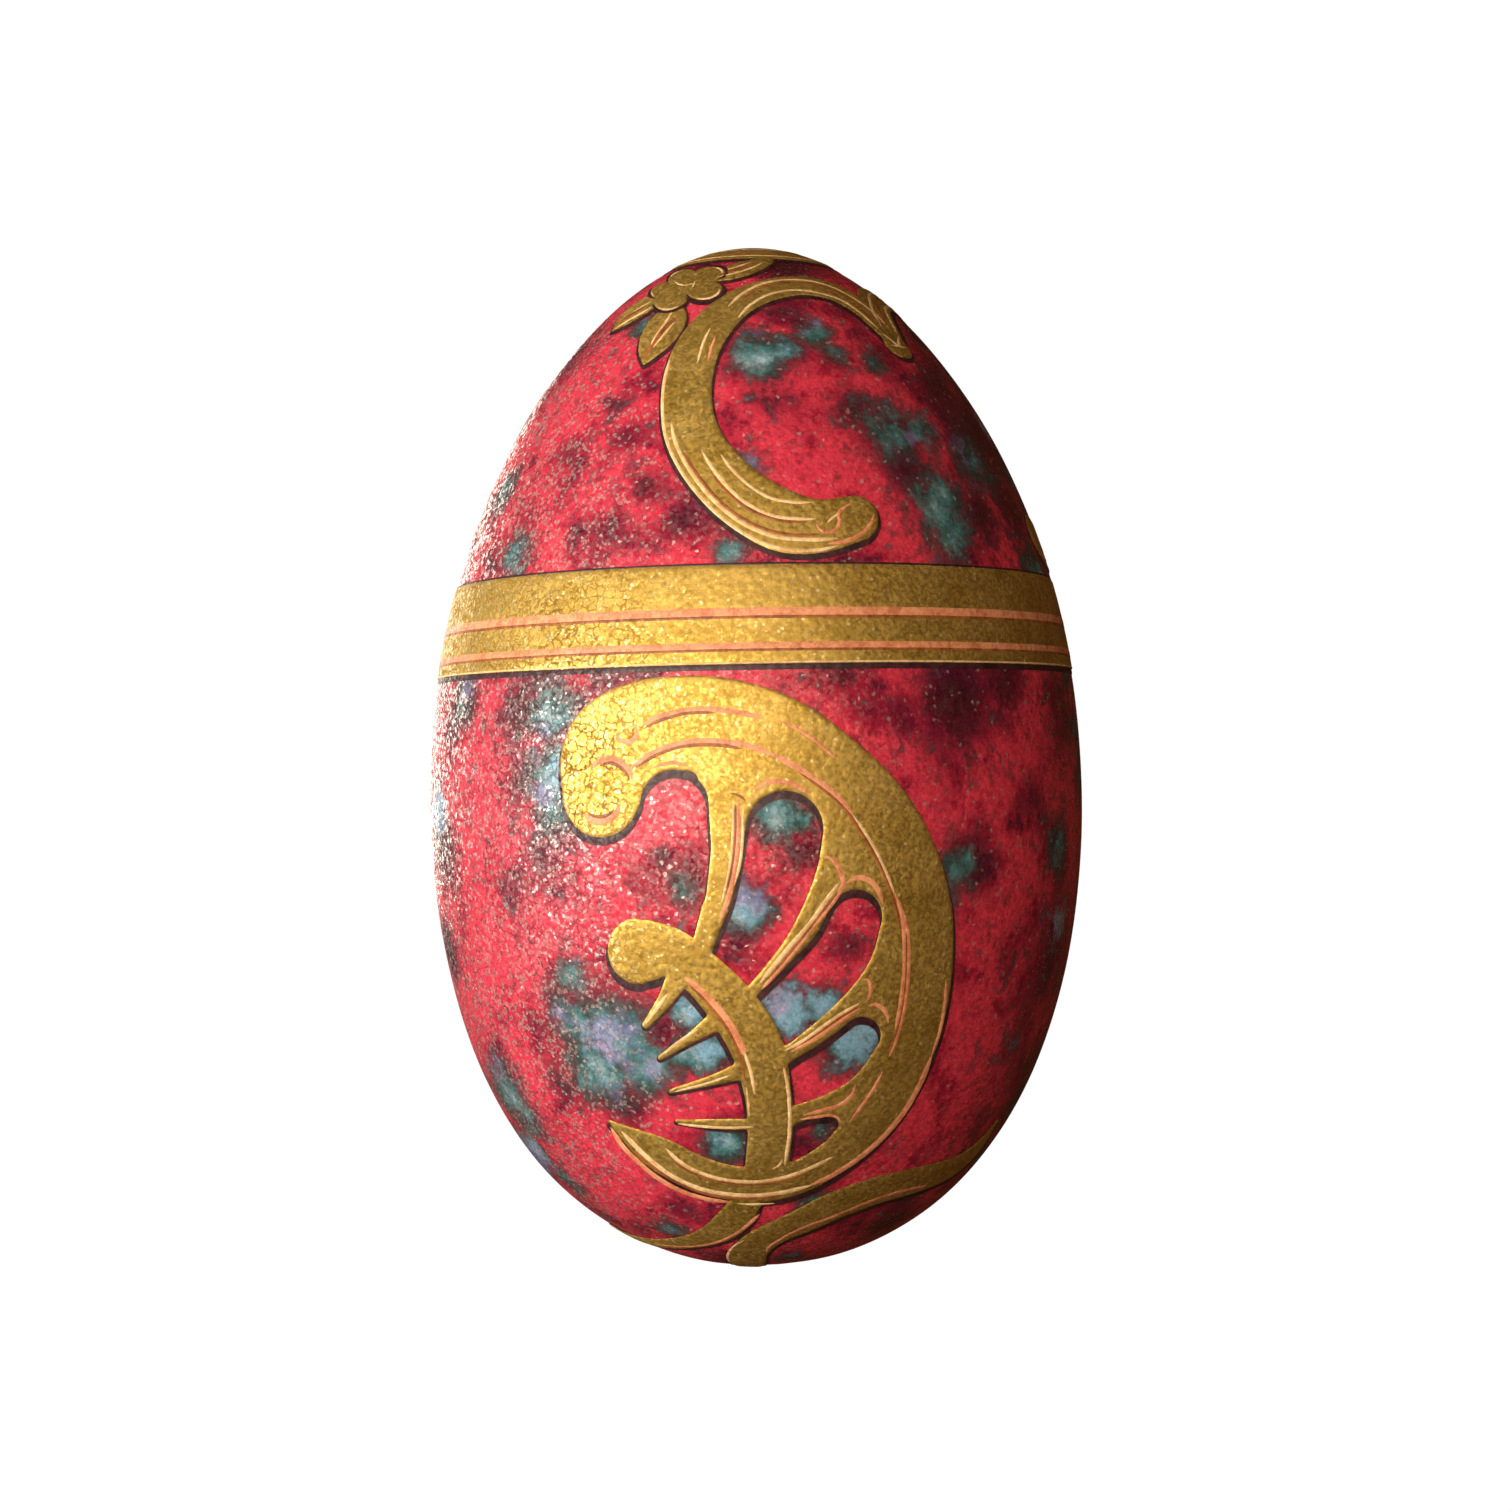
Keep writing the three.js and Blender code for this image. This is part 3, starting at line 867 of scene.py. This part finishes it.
def drawLines(name, lines, placings, material, slot, weight):
    # each line is a half width and its points: a low rounded ridge carried along them, pointed at its ends
    across = np.linspace(1.0, -1.0, press["lineColumns"])
    step = press["lineStep"]
    points, faces, first = [], [], 0
    for azimuth, flip in placings:
        for halfWidth, route in lines:
            path = smoothPath(route, step)
            slope = np.gradient(path, axis=0)
            slope /= np.linalg.norm(slope, axis=1)[:, None]
            run = np.linspace(0.0, 1.0, len(path))*len(path)*step
            taper = np.sqrt(np.clip(np.minimum(run, run[-1] - run)/press["taper"], 0.02, 1))
            reach = weight*halfWidth*taper[:, None]*across[None, :]
            x = path[:, :1] - slope[:, 1:]*reach
            y = path[:, 1:2] + slope[:, :1]*reach
            rise = press["lineRise"]*(1 - across[None, :]**2)*taper[:, None]
            points.append(onEgg(x, y, press["lineLift"] + rise, azimuth, flip).reshape(-1, 3))
            strip = gridFaces(len(path), len(across), first=first)
            faces += strip if flip > 0 else [face[::-1] for face in strip]
            first += len(path)*len(across)
    newPiece(name, np.concatenate(points), faces, material)


def drawMotif(name, motif, placings):
    # the motif's shade, umber, coral and cream lines, as far as it has them
    for ink in ("shade", "umber", "coral", "cream"):
        if ink in motif:
            drawLines(name + ink.capitalize(), motif[ink], placings, *inks[ink], press[ink + "Weight"])


everyHalf = [(0.0, 1), (180.0, 1)]

crescent = {
    "band": [  # x, y, half width along the big crescent, from its knob round to its lower tip
        (-12.4, 1.2, 3.4), (-11.7, 4.1, 4.1), (-9.0, 5.9, 3.85), (-5.0, 6.55, 3.6), (-1.6, 6.1, 3.6),
        (2.0, 4.6, 3.7), (6.3, 1.4, 3.65), (9.2, -1.4, 3.55), (11.4, -4.5, 3.3), (12.8, -8.3, 3.2),
        (13.0, -12.4, 3.15), (12.7, -15.8, 3.0), (11.8, -19.0, 2.9), (10.1, -22.4, 2.9), (7.9, -25.4, 2.85),
        (5.2, -28.3, 2.65), (2.6, -30.5, 2.35), (0.2, -31.6, 2.05), (-2.4, -31.4, 1.95), (-5.2, -30.3, 1.85),
        (-8.0, -28.6, 1.75), (-10.4, -27.0, 0.95), (-12.4, -25.6, 0.12)],
    "web": [   # the sheet that the windows are cut from
        (2.0, -1.0, 4.4), (3.6, -6.5, 5.6), (4.4, -11.5, 6.0), (5.4, -16.5, 5.6), (5.7, -21.0, 4.8),
        (4.6, -25.5, 3.5)],
    "stem": [(-2.4, 1.5, 1.9), (-2.15, -2.3, 1.25), (-2.9, -6.2, 1.0), (-4.1, -10.4, 0.85)],
    "windows": [  # the open bay beside the knob, then the closed ones
        [(-6.3, 0.25, 2.7), (-6.05, -3.0, 2.55), (-6.5, -6.0, 2.7)],
        [(2.15, -1.65, 2.95), (1.7, -4.2, 2.9), (0.5, -7.8, 2.55), (-1.0, -10.6, 2.2), (-2.6, -13.4, 1.6)],
        [(7.6, -8.45, 2.15), (6.5, -11.0, 2.4), (4.2, -13.6, 2.45), (1.2, -16.4, 2.3)],
        [(8.1, -17.95, 1.6), (6.2, -19.9, 2.0), (3.9, -21.3, 1.95), (1.6, -22.4, 1.6)],
        [(5.5, -25.65, 0.8), (4.1, -26.4, 1.4), (2.2, -27.7, 1.5)]],
    "inner": [  # the small crescent, from its knob down
        (-9.3, -11.0, 2.6), (-6.7, -10.9, 1.8), (-4.6, -12.4, 1.75), (-2.2, -15.0, 1.95), (-0.2, -18.4, 2.05),
        (0.6, -21.8, 1.85), (0.9, -25.4, 1.75), (0.6, -29.6, 1.7)],
    "spikes": [
        [(-5.9, -12.6, 1.0), (-7.2, -14.8, 0.6), (-8.8, -16.9, 0.3)],
        [(-3.2, -16.5, 0.8), (-5.2, -17.9, 0.42), (-7.7, -19.6, 0.2)],
        [(-1.3, -20.6, 0.75), (-3.4, -21.4, 0.46), (-6.9, -22.5, 0.18)],
        [(-0.7, -25.4, 0.5), (-3.0, -25.4, 0.48), (-6.5, -25.2, 0.14)]],
    "coral": [
        (0.19, [(-8.9, 6.25), (-8.0, 6.8), (-6.5, 7.25), (-5.0, 7.5), (-3.0, 7.5), (-1.0, 7.2), (0.6, 6.8)]),
        (0.13, [(1.8, 6.6), (3.3, 5.9), (4.8, 4.85), (6.2, 3.6)]),
        (0.17, [(-9.45, 6.5), (-9.2, 5.8), (-9.5, 5.2), (-10.1, 5.05), (-10.7, 5.35), (-10.9, 5.95)]),
        (0.2, [(-9.8, 3.0), (-9.0, 3.55), (-8.0, 4.2), (-6.5, 4.75), (-4.5, 5.1), (-2.5, 5.05),
               (-0.5, 4.7), (1.5, 3.95)]),
        (0.22, [(1.0, 4.2), (3.0, 3.1), (4.8, 1.9), (6.2, 0.8), (7.4, -0.6)]),
        (0.24, [(-9.6, 2.1), (-9.95, 3.0), (-10.7, 3.6), (-11.6, 3.85), (-12.5, 3.6), (-13.2, 2.9)]),
        (0.14, [(-8.0, 3.1), (-7.0, 3.4), (-6.0, 3.48), (-5.0, 3.15)]),
        (0.27, [(-13.9, -0.4), (-13.2, -0.85), (-12.4, -1.0), (-11.5, -0.8), (-10.9, -0.2), (-10.6, 0.5)]),
        (0.17, [(-0.25, 1.05), (0.3, 1.65), (1.1, 2.0), (2.1, 1.95), (3.1, 1.65), (4.1, 1.05)]),
        (0.17, [(-1.35, 0.6), (-1.4, -2.0), (-1.6, -4.0), (-2.1, -6.5), (-2.9, -8.7)]),
        (0.19, [(5.1, -3.7), (5.7, -3.9), (6.2, -4.5), (6.5, -5.3), (6.6, -5.9), (5.9, -7.0)]),
        (0.14, [(6.6, -6.2), (5.8, -7.2), (4.5, -8.8), (3.0, -10.7), (1.6, -12.4), (0.3, -13.9)]),
        (0.2, [(6.8, -5.8), (7.4, -5.45), (8.1, -5.4), (8.9, -5.75), (9.5, -6.6), (9.8, -7.5)]),
        (0.17, [(10.8, -6.6), (11.35, -8.2), (11.6, -10.0), (11.6, -13.0), (11.3, -15.6), (10.9, -17.6)]),
        (0.17, [(11.5, -8.0), (11.9, -10.0), (11.95, -13.0), (11.65, -15.8), (11.1, -18.0), (10.4, -19.8)]),
        (0.16, [(8.1, -13.3), (8.6, -13.4), (8.8, -14.0), (8.7, -14.7), (8.4, -15.2)]),
        (0.15, [(8.0, -15.6), (7.0, -16.2), (5.5, -17.2), (4.0, -18.2), (2.4, -19.1)]),
        (0.17, [(8.5, -15.5), (9.2, -15.35), (9.8, -15.7), (10.2, -16.3), (10.3, -17.0)]),
        (0.16, [(7.6, -22.0), (7.4, -22.8), (6.9, -23.4), (6.2, -23.85), (5.0, -24.2), (3.4, -24.6)]),
        (0.11, [(3.2, -25.0), (4.5, -24.8), (5.5, -24.7), (6.2, -24.95), (6.5, -25.5)]),
        (0.24, [(-5.7, -12.9), (-4.5, -13.9), (-3.5, -14.9), (-2.6, -16.0), (-1.9, -17.2), (-1.3, -18.5),
                (-0.9, -19.6)]),
        (0.14, [(9.9, -21.0), (9.2, -22.4), (8.3, -23.8), (7.2, -25.4)]),
        (0.2, [(-12.3, -26.1), (-11.3, -27.9), (-10.0, -29.4), (-8.4, -31.0), (-6.4, -32.4), (-4.2, -33.3),
               (-2.2, -33.65)]),
        (0.22, [(4.0, -31.8), (6.0, -30.6), (8.0, -29.1), (10.0, -27.2), (11.8, -25.0), (13.2, -22.6),
                (14.3, -20.0)]),
        (0.14, [(14.3, -20.0), (15.0, -18.0), (15.4, -15.8), (15.5, -13.6)])],
    "cream": [
        (0.1, [(-1.75, 0.6), (-1.8, -2.0), (-2.05, -4.5), (-2.7, -7.2)]),
        (0.1, [(-1.0, 0.1), (-1.05, -2.0), (-1.25, -4.0), (-1.7, -5.8)]),
        (0.16, [(6.3, -5.7), (5.3, -7.0), (4.0, -8.8), (2.5, -10.5), (1.2, -12.1), (0.1, -13.5)]),
        (0.12, [(7.4, -0.6), (8.2, -1.7), (9.2, -3.3), (10.1, -5.1), (10.8, -6.8)]),
        (0.14, [(7.9, -15.2), (6.5, -16.0), (5.0, -17.0), (3.5, -18.1), (2.0, -18.95)]),
        (0.13, [(1.9, -20.2), (2.2, -21.7), (2.38, -24.0), (2.35, -26.4), (2.1, -28.6), (2.0, -29.5)]),
        (0.12, [(1.0, -29.8), (1.5, -29.5), (1.85, -28.8)]),
        (0.13, [(-1.2, -18.6), (-0.8, -19.9), (-0.5, -21.2), (-0.3, -22.7)]),
        (0.14, [(-6.9, -14.2), (-7.8, -15.4), (-8.8, -16.8)]),
        (0.11, [(-4.6, -17.1), (-6.0, -18.1), (-7.5, -19.3)]),
        (0.09, [(-2.0, -20.9), (-4.0, -21.7), (-6.6, -22.5)]),
        (0.11, [(-6.4, -25.4), (-4.5, -25.6), (-2.5, -25.68), (-0.4, -25.6)]),
        (0.09, [(-0.95, -22.0), (-0.8, -23.3), (-0.75, -24.6)]),
        (0.22, [(-11.3, -26.4), (-10.2, -27.7), (-9.0, -29.0), (-7.0, -30.8), (-4.6, -32.1), (-2.0, -32.7),
                (0.4, -32.7), (2.4, -32.3), (4.2, -31.7)]),
        (0.17, [(-7.5, -27.8), (-6.4, -29.1), (-4.8, -30.2), (-2.8, -30.95), (-0.6, -31.2), (1.4, -30.9),
                (3.4, -30.15), (6.0, -28.7)]),
        (0.13, [(-1.8, -33.8), (-0.4, -33.88), (1.2, -33.8)])],
    "umber": [
        (0.1, [(-9.8, 2.0), (-10.1, 2.75), (-10.8, 3.3), (-11.6, 3.5), (-12.4, 3.25)]),
        (0.1, [(-13.5, -0.25), (-12.9, -0.55), (-12.2, -0.62), (-11.5, -0.4), (-11.1, 0.1)]),
        (0.07, [(-9.7, 6.2), (-9.5, 5.75), (-9.8, 5.4), (-10.2, 5.35)]),
        (0.09, [(-8.7, 6.05), (-7.8, 6.55), (-6.4, 7.0), (-5.0, 7.28), (-3.0, 7.28)]),
        (0.1, [(-9.3, 3.1), (-8.6, 3.6), (-7.4, 4.2), (-5.5, 4.75), (-3.0, 4.82), (-1.0, 4.5)]),
        (0.08, [(-2.1, 1.15), (-1.5, 1.05), (-1.0, 0.75), (-0.75, 0.4)]),
        (0.08, [(-1.58, 0.4), (-1.62, -2.0), (-1.85, -4.2), (-2.4, -6.6)]),
        (0.08, [(3.2, 2.7), (5.0, 1.45), (6.6, 0.05), (8.0, -1.9), (9.5, -4.4), (10.6, -7.0), (11.3, -9.6)]),
        (0.07, [(11.77, -9.0), (11.8, -12.0), (11.6, -15.0), (11.0, -17.8), (10.2, -20.0)]),
        (0.09, [(6.35, -6.2), (5.0, -7.9), (3.6, -9.7), (2.2, -11.4), (0.7, -13.2)]),
        (0.08, [(7.9, -15.45), (6.4, -16.25), (4.8, -17.4), (3.0, -18.6)]),
        (0.08, [(-5.3, -13.5), (-4.2, -14.6), (-3.2, -15.9), (-2.2, -17.4), (-1.5, -19.2), (-1.0, -21.4)]),
        (0.07, [(-7.1, -28.9), (-5.6, -30.15), (-3.4, -31.1), (-0.6, -31.5), (1.8, -31.15), (4.0, -30.2)]),
        (0.09, [(-10.4, -28.2), (-8.6, -29.9), (-6.4, -31.6), (-3.6, -32.85), (-0.6, -33.1), (2.4, -32.7)])],
}


def printCrescent():
    grid = sheetGrid(-17.0, 17.5, -35.5, 11.5)
    field = joined(stroke(grid, crescent["band"]), stroke(grid, crescent["web"]), 0.5)
    field = joined(field, stroke(grid, crescent["stem"]), 1.8)
    for window in crescent["windows"]:
        field = np.maximum(field, -stroke(grid, window))
    field = joined(field, stroke(grid, crescent["inner"]), 0.15)
    spikes = np.min([stroke(grid, spike) for spike in crescent["spikes"]], 0)
    shade = np.minimum(fallen(field, 0.42, 0.2), fallen(spikes, 0.22, 0.12))
    printGold("crescent", joined(field, spikes, 0.2), grid, everyHalf, shade)
    drawMotif("crescent", crescent, everyHalf)


printCrescent()
print("big crescent printed")

scroll = {
    "body": [
        (8.0, 22.75, 1.95), (5.0, 22.05, 2.25), (2.2, 22.5, 2.6), (-0.7, 24.3, 2.5), (-2.7, 26.4, 2.35),
        (-4.25, 28.7, 2.3), (-5.1, 31.0, 2.2), (-5.4, 33.6, 2.1), (-5.25, 36.2, 2.05), (-4.6, 38.9, 1.95),
        (-3.4, 41.5, 1.8), (-1.7, 44.0, 1.65), (0.6, 46.0, 1.6), (3.9, 47.3, 1.55), (7.2, 46.7, 1.4),
        (10.0, 44.7, 1.3), (12.3, 42.0, 1.15), (14.4, 39.6, 0.75)],
    "coral": [
        (0.15, [(9.6, 23.2), (9.2, 22.2), (8.4, 21.4), (7.2, 20.8), (5.6, 20.5)]),
        (0.12, [(-3.0, 40.3), (-3.35, 38.9), (-3.6, 37.4)]),
        (0.14, [(4.8, 22.3), (5.0, 21.8), (5.6, 21.5), (6.3, 21.7), (6.7, 22.4), (6.6, 23.1), (7.2, 23.7),
                (7.7, 24.0)])],
    "cream": [
        (0.12, [(-6.8, 38.0), (-7.25, 35.6), (-7.35, 33.0), (-7.05, 30.2), (-6.1, 27.6), (-4.6, 25.1),
                (-2.6, 22.8), (-0.2, 21.0), (2.4, 20.05), (4.8, 20.0), (6.6, 20.4)]),
        (0.15, [(-6.6, 31.4), (-6.1, 29.2), (-4.9, 26.7), (-3.2, 24.3), (-1.0, 22.3), (1.6, 21.1),
                (4.4, 20.85), (6.6, 21.0)]),
        (0.14, [(-4.1, 28.7), (-3.2, 27.0), (-1.9, 25.2), (-0.4, 23.8), (1.6, 22.8), (3.4, 22.6),
                (4.8, 22.6)]),
        (0.12, [(-2.6, 28.3), (-1.7, 26.9), (-0.4, 25.5), (1.2, 24.4), (3.0, 24.0), (4.6, 24.0)]),
        (0.1, [(-3.4, 41.4), (-4.0, 39.6), (-4.5, 37.2)]),
        (0.13, [(-2.0, 43.9), (-0.9, 45.6), (0.8, 47.2), (2.9, 48.0), (5.2, 48.0), (7.4, 47.2),
                (9.6, 45.7), (11.4, 44.1), (12.8, 42.3)]),
        (0.13, [(-1.2, 42.4), (-0.1, 44.2), (1.4, 45.6), (3.4, 46.35), (5.6, 46.2), (7.8, 45.4),
                (9.6, 43.9), (11.4, 41.9)]),
        (0.12, [(11.7, 41.5), (12.6, 40.8), (13.4, 40.2), (14.5, 40.1)]),
        (0.12, [(5.6, 22.2), (6.1, 22.7), (6.8, 23.2)])],
    "umber": [
        (0.08, [(-5.6, 28.6), (-4.2, 26.2), (-2.4, 23.9), (0.0, 22.1), (2.6, 21.3), (5.2, 21.3)]),
        (0.08, [(-3.4, 26.7), (-2.0, 24.8), (-0.2, 23.3), (2.0, 22.45), (4.2, 22.3)]),
        (0.08, [(-1.0, 44.8), (0.8, 46.6), (3.2, 47.5), (5.8, 47.2), (8.4, 46.0), (10.6, 44.0),
                (12.2, 42.2)])],
}
scrollPlacings = [(0.0, 1), (93.0, -1), (160.0, 1), (253.0, -1)]


def printScroll():
    grid = sheetGrid(-9.0, 17.0, 18.5, 50.5)
    field = stroke(grid, scroll["body"])
    printGold("scroll", field, grid, scrollPlacings, fallen(field, 0.35, 0.2))
    drawMotif("scroll", scroll, scrollPlacings)


printScroll()
print("upper scrolls printed")

girdle = {
    "low": 11.0, "high": 18.85, "tilt": 0.25,    # mm up from the girth, and how far the band tips
    "coral": [(0.38, 15.05), (0.3, 12.4)],      # half width and level of each line
    "cream": [(0.07, 11.1)],
    "umber": [(0.16, 14.64), (0.14, 12.07)],
    "shade": [(0.26, 10.8), (0.1, 18.93)],
    "rows": 33,
}
crown = {
    "low": 52.4, "tilt": 0.0,
    "cream": [(0.12, 53.05), (0.08, 55.6)],
    "umber": [(0.13, 53.35), (0.1, 55.85)],
    "shade": [(0.4, 52.15)],
    "rows": 17, "rim": 0.25,                     # mm short of the film's opening
}
beltColumns = 720


def ringPoints(level, halfWidth, tilt, across, lift):
    # a closed ring round the egg at that level; across runs from -1 to 1 over its width
    azimuth = np.linspace(-math.pi, math.pi, beltColumns, endpoint=False)[None, :]
    y = level + tilt*np.sin(azimuth) + halfWidth*across
    return onEgg(azimuth*ovalAt(y, "radius"), y, lift + 0*azimuth).reshape(-1, 3)


def printHoops(name, hoops, tilt, material, slot, lift):
    # lines that run right round the egg, as low rounded ridges
    count = press["lineColumns"]
    across = np.linspace(-1.0, 1.0, count)[:, None]
    points = [ringPoints(level, halfWidth, tilt, across, lift + press["lineRise"]*(1 - across**2))
              for halfWidth, level in hoops]
    faces = [face for k in range(len(hoops))
             for face in gridFaces(count, beltColumns, True, k*count*beltColumns)]
    newPiece(name, np.concatenate(points), faces, material)


def printBelt(name, belt, high):
    # a band of gold right round the egg, and the lines along it
    middle, half = (belt["low"] + high)/2, (high - belt["low"])/2
    across = np.linspace(-1.0, 1.0, belt["rows"])[:, None]
    points = ringPoints(middle, half, belt["tilt"], across, goldLift(-half*(1 - np.abs(across))))
    newPiece(name + "Gold", points, gridFaces(belt["rows"], beltColumns, True), goldInk)
    lifts = {"coral": press["lineLift"], "cream": press["lineLift"],
             "umber": press["lineLift"] - press["umberSink"],
             "shade": press["shadeLift"] - press["lineRise"]/2}
    for ink, lift in lifts.items():
        if ink in belt:
            printHoops(name + ink.capitalize(), belt[ink], belt["tilt"], *inks[ink], lift)


printBelt("girdle", girdle, girdle["high"])
printBelt("crown", crown, arcAtRadius(sleeve["topOpening"], True) - crown["rim"])
print("girdle band and crown printed")

spray = {  # flower and leaves near the pointed end
    # a petal is x, y, radius, and where its lower rim starts and ends, in degrees
    "petals": [(-4.0, 46.5, 1.6, -165, 25), (-7.2, 45.5, 1.65, -175, -20), (-8.3, 47.5, 1.4, 150, 260),
               (-6.4, 49.6, 1.5, 60, 200), (-3.7, 49.4, 1.5, -60, 100)],
    "eye": (-5.8, 47.5, 1.6),
    "leaves": [
        [(-9.2, 37.7, 0.1), (-8.7, 39.4, 1.15), (-7.9, 41.2, 1.8), (-7.1, 42.9, 1.6), (-6.4, 44.6, 0.5)],
        [(-13.4, 42.5, 0.1), (-12.2, 43.8, 1.0), (-10.8, 44.9, 1.35), (-9.2, 45.8, 1.1), (-7.9, 46.2, 0.3)],
        [(-3.2, 48.3, 0.4), (-1.9, 49.2, 1.1), (-0.5, 50.3, 1.3), (0.9, 51.6, 0.9), (1.7, 52.6, 0.1)]],
    "cream": [
        (0.13, [(-8.9, 38.8), (-8.2, 40.8), (-7.4, 42.4), (-6.8, 43.8)]),
        (0.1, [(-8.4, 39.4), (-7.4, 41.0), (-6.5, 42.4)]),
        (0.12, [(-13.0, 42.6), (-11.6, 43.4), (-10.2, 44.1), (-8.9, 44.9)]),
        (0.1, [(-11.9, 43.9), (-10.4, 45.0), (-9.0, 45.8)]),
        (0.13, [(-3.0, 48.5), (-2.0, 48.9), (-0.9, 49.4), (0.2, 50.3), (0.9, 51.2)]),
        (0.11, [(-2.4, 49.6), (-1.2, 50.4), (0.0, 51.4)]),
        (0.12, [(-7.0, 48.6), (-6.4, 47.9), (-5.6, 47.6), (-5.0, 47.9)]),
        (0.1, [(-5.3, 46.9), (-5.0, 47.5), (-4.9, 48.3)])],
    "umber": [
        (0.14, [(-9.3, 38.2), (-8.3, 40.2), (-7.2, 42.0), (-6.2, 43.0)]),
        (0.12, [(-12.9, 43.2), (-11.4, 44.2), (-9.6, 45.2)]),
        (0.13, [(-2.9, 48.9), (-1.4, 49.8), (0.4, 51.4)])],
}


def rimArc(x, y, radius, start, end):
    # points on a circle from one angle in degrees to another
    turn = np.radians(np.linspace(start, end, 9))
    return np.stack([x + radius*np.cos(turn), y + radius*np.sin(turn)], 1)


root = {  # scrolls round the blunt end
    "limbs": [
        [(-1.2, -34.0, 1.3), (-2.2, -36.3, 1.55), (-3.7, -38.6, 1.5), (-5.9, -40.4, 1.3),
         (-8.6, -41.6, 1.15), (-11.6, -42.0, 1.0), (-14.0, -41.4, 0.7), (-15.6, -39.8, 0.3)],
        [(-0.9, -50.0, 1.0), (-1.0, -46.0, 1.5), (-1.0, -43.0, 1.6), (-0.4, -40.6, 1.65),
         (1.0, -38.5, 1.65), (3.4, -36.6, 1.7), (6.4, -34.5, 1.8), (10.0, -33.1, 1.75),
         (14.0, -32.5, 1.65), (18.5, -31.8, 1.4), (22.0, -30.2, 1.0), (24.5, -27.6, 0.3)]],
    "coral": [
        (0.16, [(0.0, -35.2), (-0.8, -36.5), (-1.7, -37.9), (-2.8, -39.2), (-4.2, -40.4), (-6.0, -41.3),
                (-8.2, -41.8), (-10.5, -42.0)]),
        (0.16, [(0.55, -42.0), (0.7, -41.0), (1.3, -39.8), (2.3, -38.5), (3.8, -37.2), (6.0, -36.0),
                (8.4, -34.7), (11.0, -33.75), (13.4, -33.4), (15.6, -33.4)])],
    "cream": [(0.13, [(-1.3, -39.4), (-2.1, -40.6), (-2.55, -42.2), (-2.65, -43.8), (-2.4, -46.0)])],
}


def printSpray(placings):
    # each petal has a pale line inside its lower rim and a dark one just outside it
    grid = sheetGrid(-14.5, 3.0, 36.5, 53.5)
    discs = [petal[:3] for petal in spray["petals"]] + [spray["eye"]]
    flower = np.min([np.hypot(grid[0] - x, grid[1] - y) - radius for x, y, radius in discs], 0)
    field = np.minimum(flower, np.min([stroke(grid, leaf) for leaf in spray["leaves"]], 0))
    printGold("spray", field, grid, placings, fallen(field, 0.35, 0.2))
    rims = {"cream": [(0.13, rimArc(x, y, radius - 0.3, start + 40, end - 25))
                      for x, y, radius, start, end in spray["petals"]],
            "shade": [(0.16, rimArc(x, y, radius + 0.06, start, end))
                      for x, y, radius, start, end in spray["petals"]]}
    drawMotif("sprayRim", rims, placings)
    drawMotif("spray", spray, placings)


def printRoot():
    grid = sheetGrid(-17.0, 26.0, -51.0, -25.0)
    field = np.minimum(*[stroke(grid, limb) for limb in root["limbs"]])
    printGold("root", field, grid, everyHalf, fallen(field, 0.35, 0.2))
    drawMotif("root", root, everyHalf)


printSpray([(0.0, 1), (160.0, 1)])
printRoot()
print("flower and root scrolls printed")
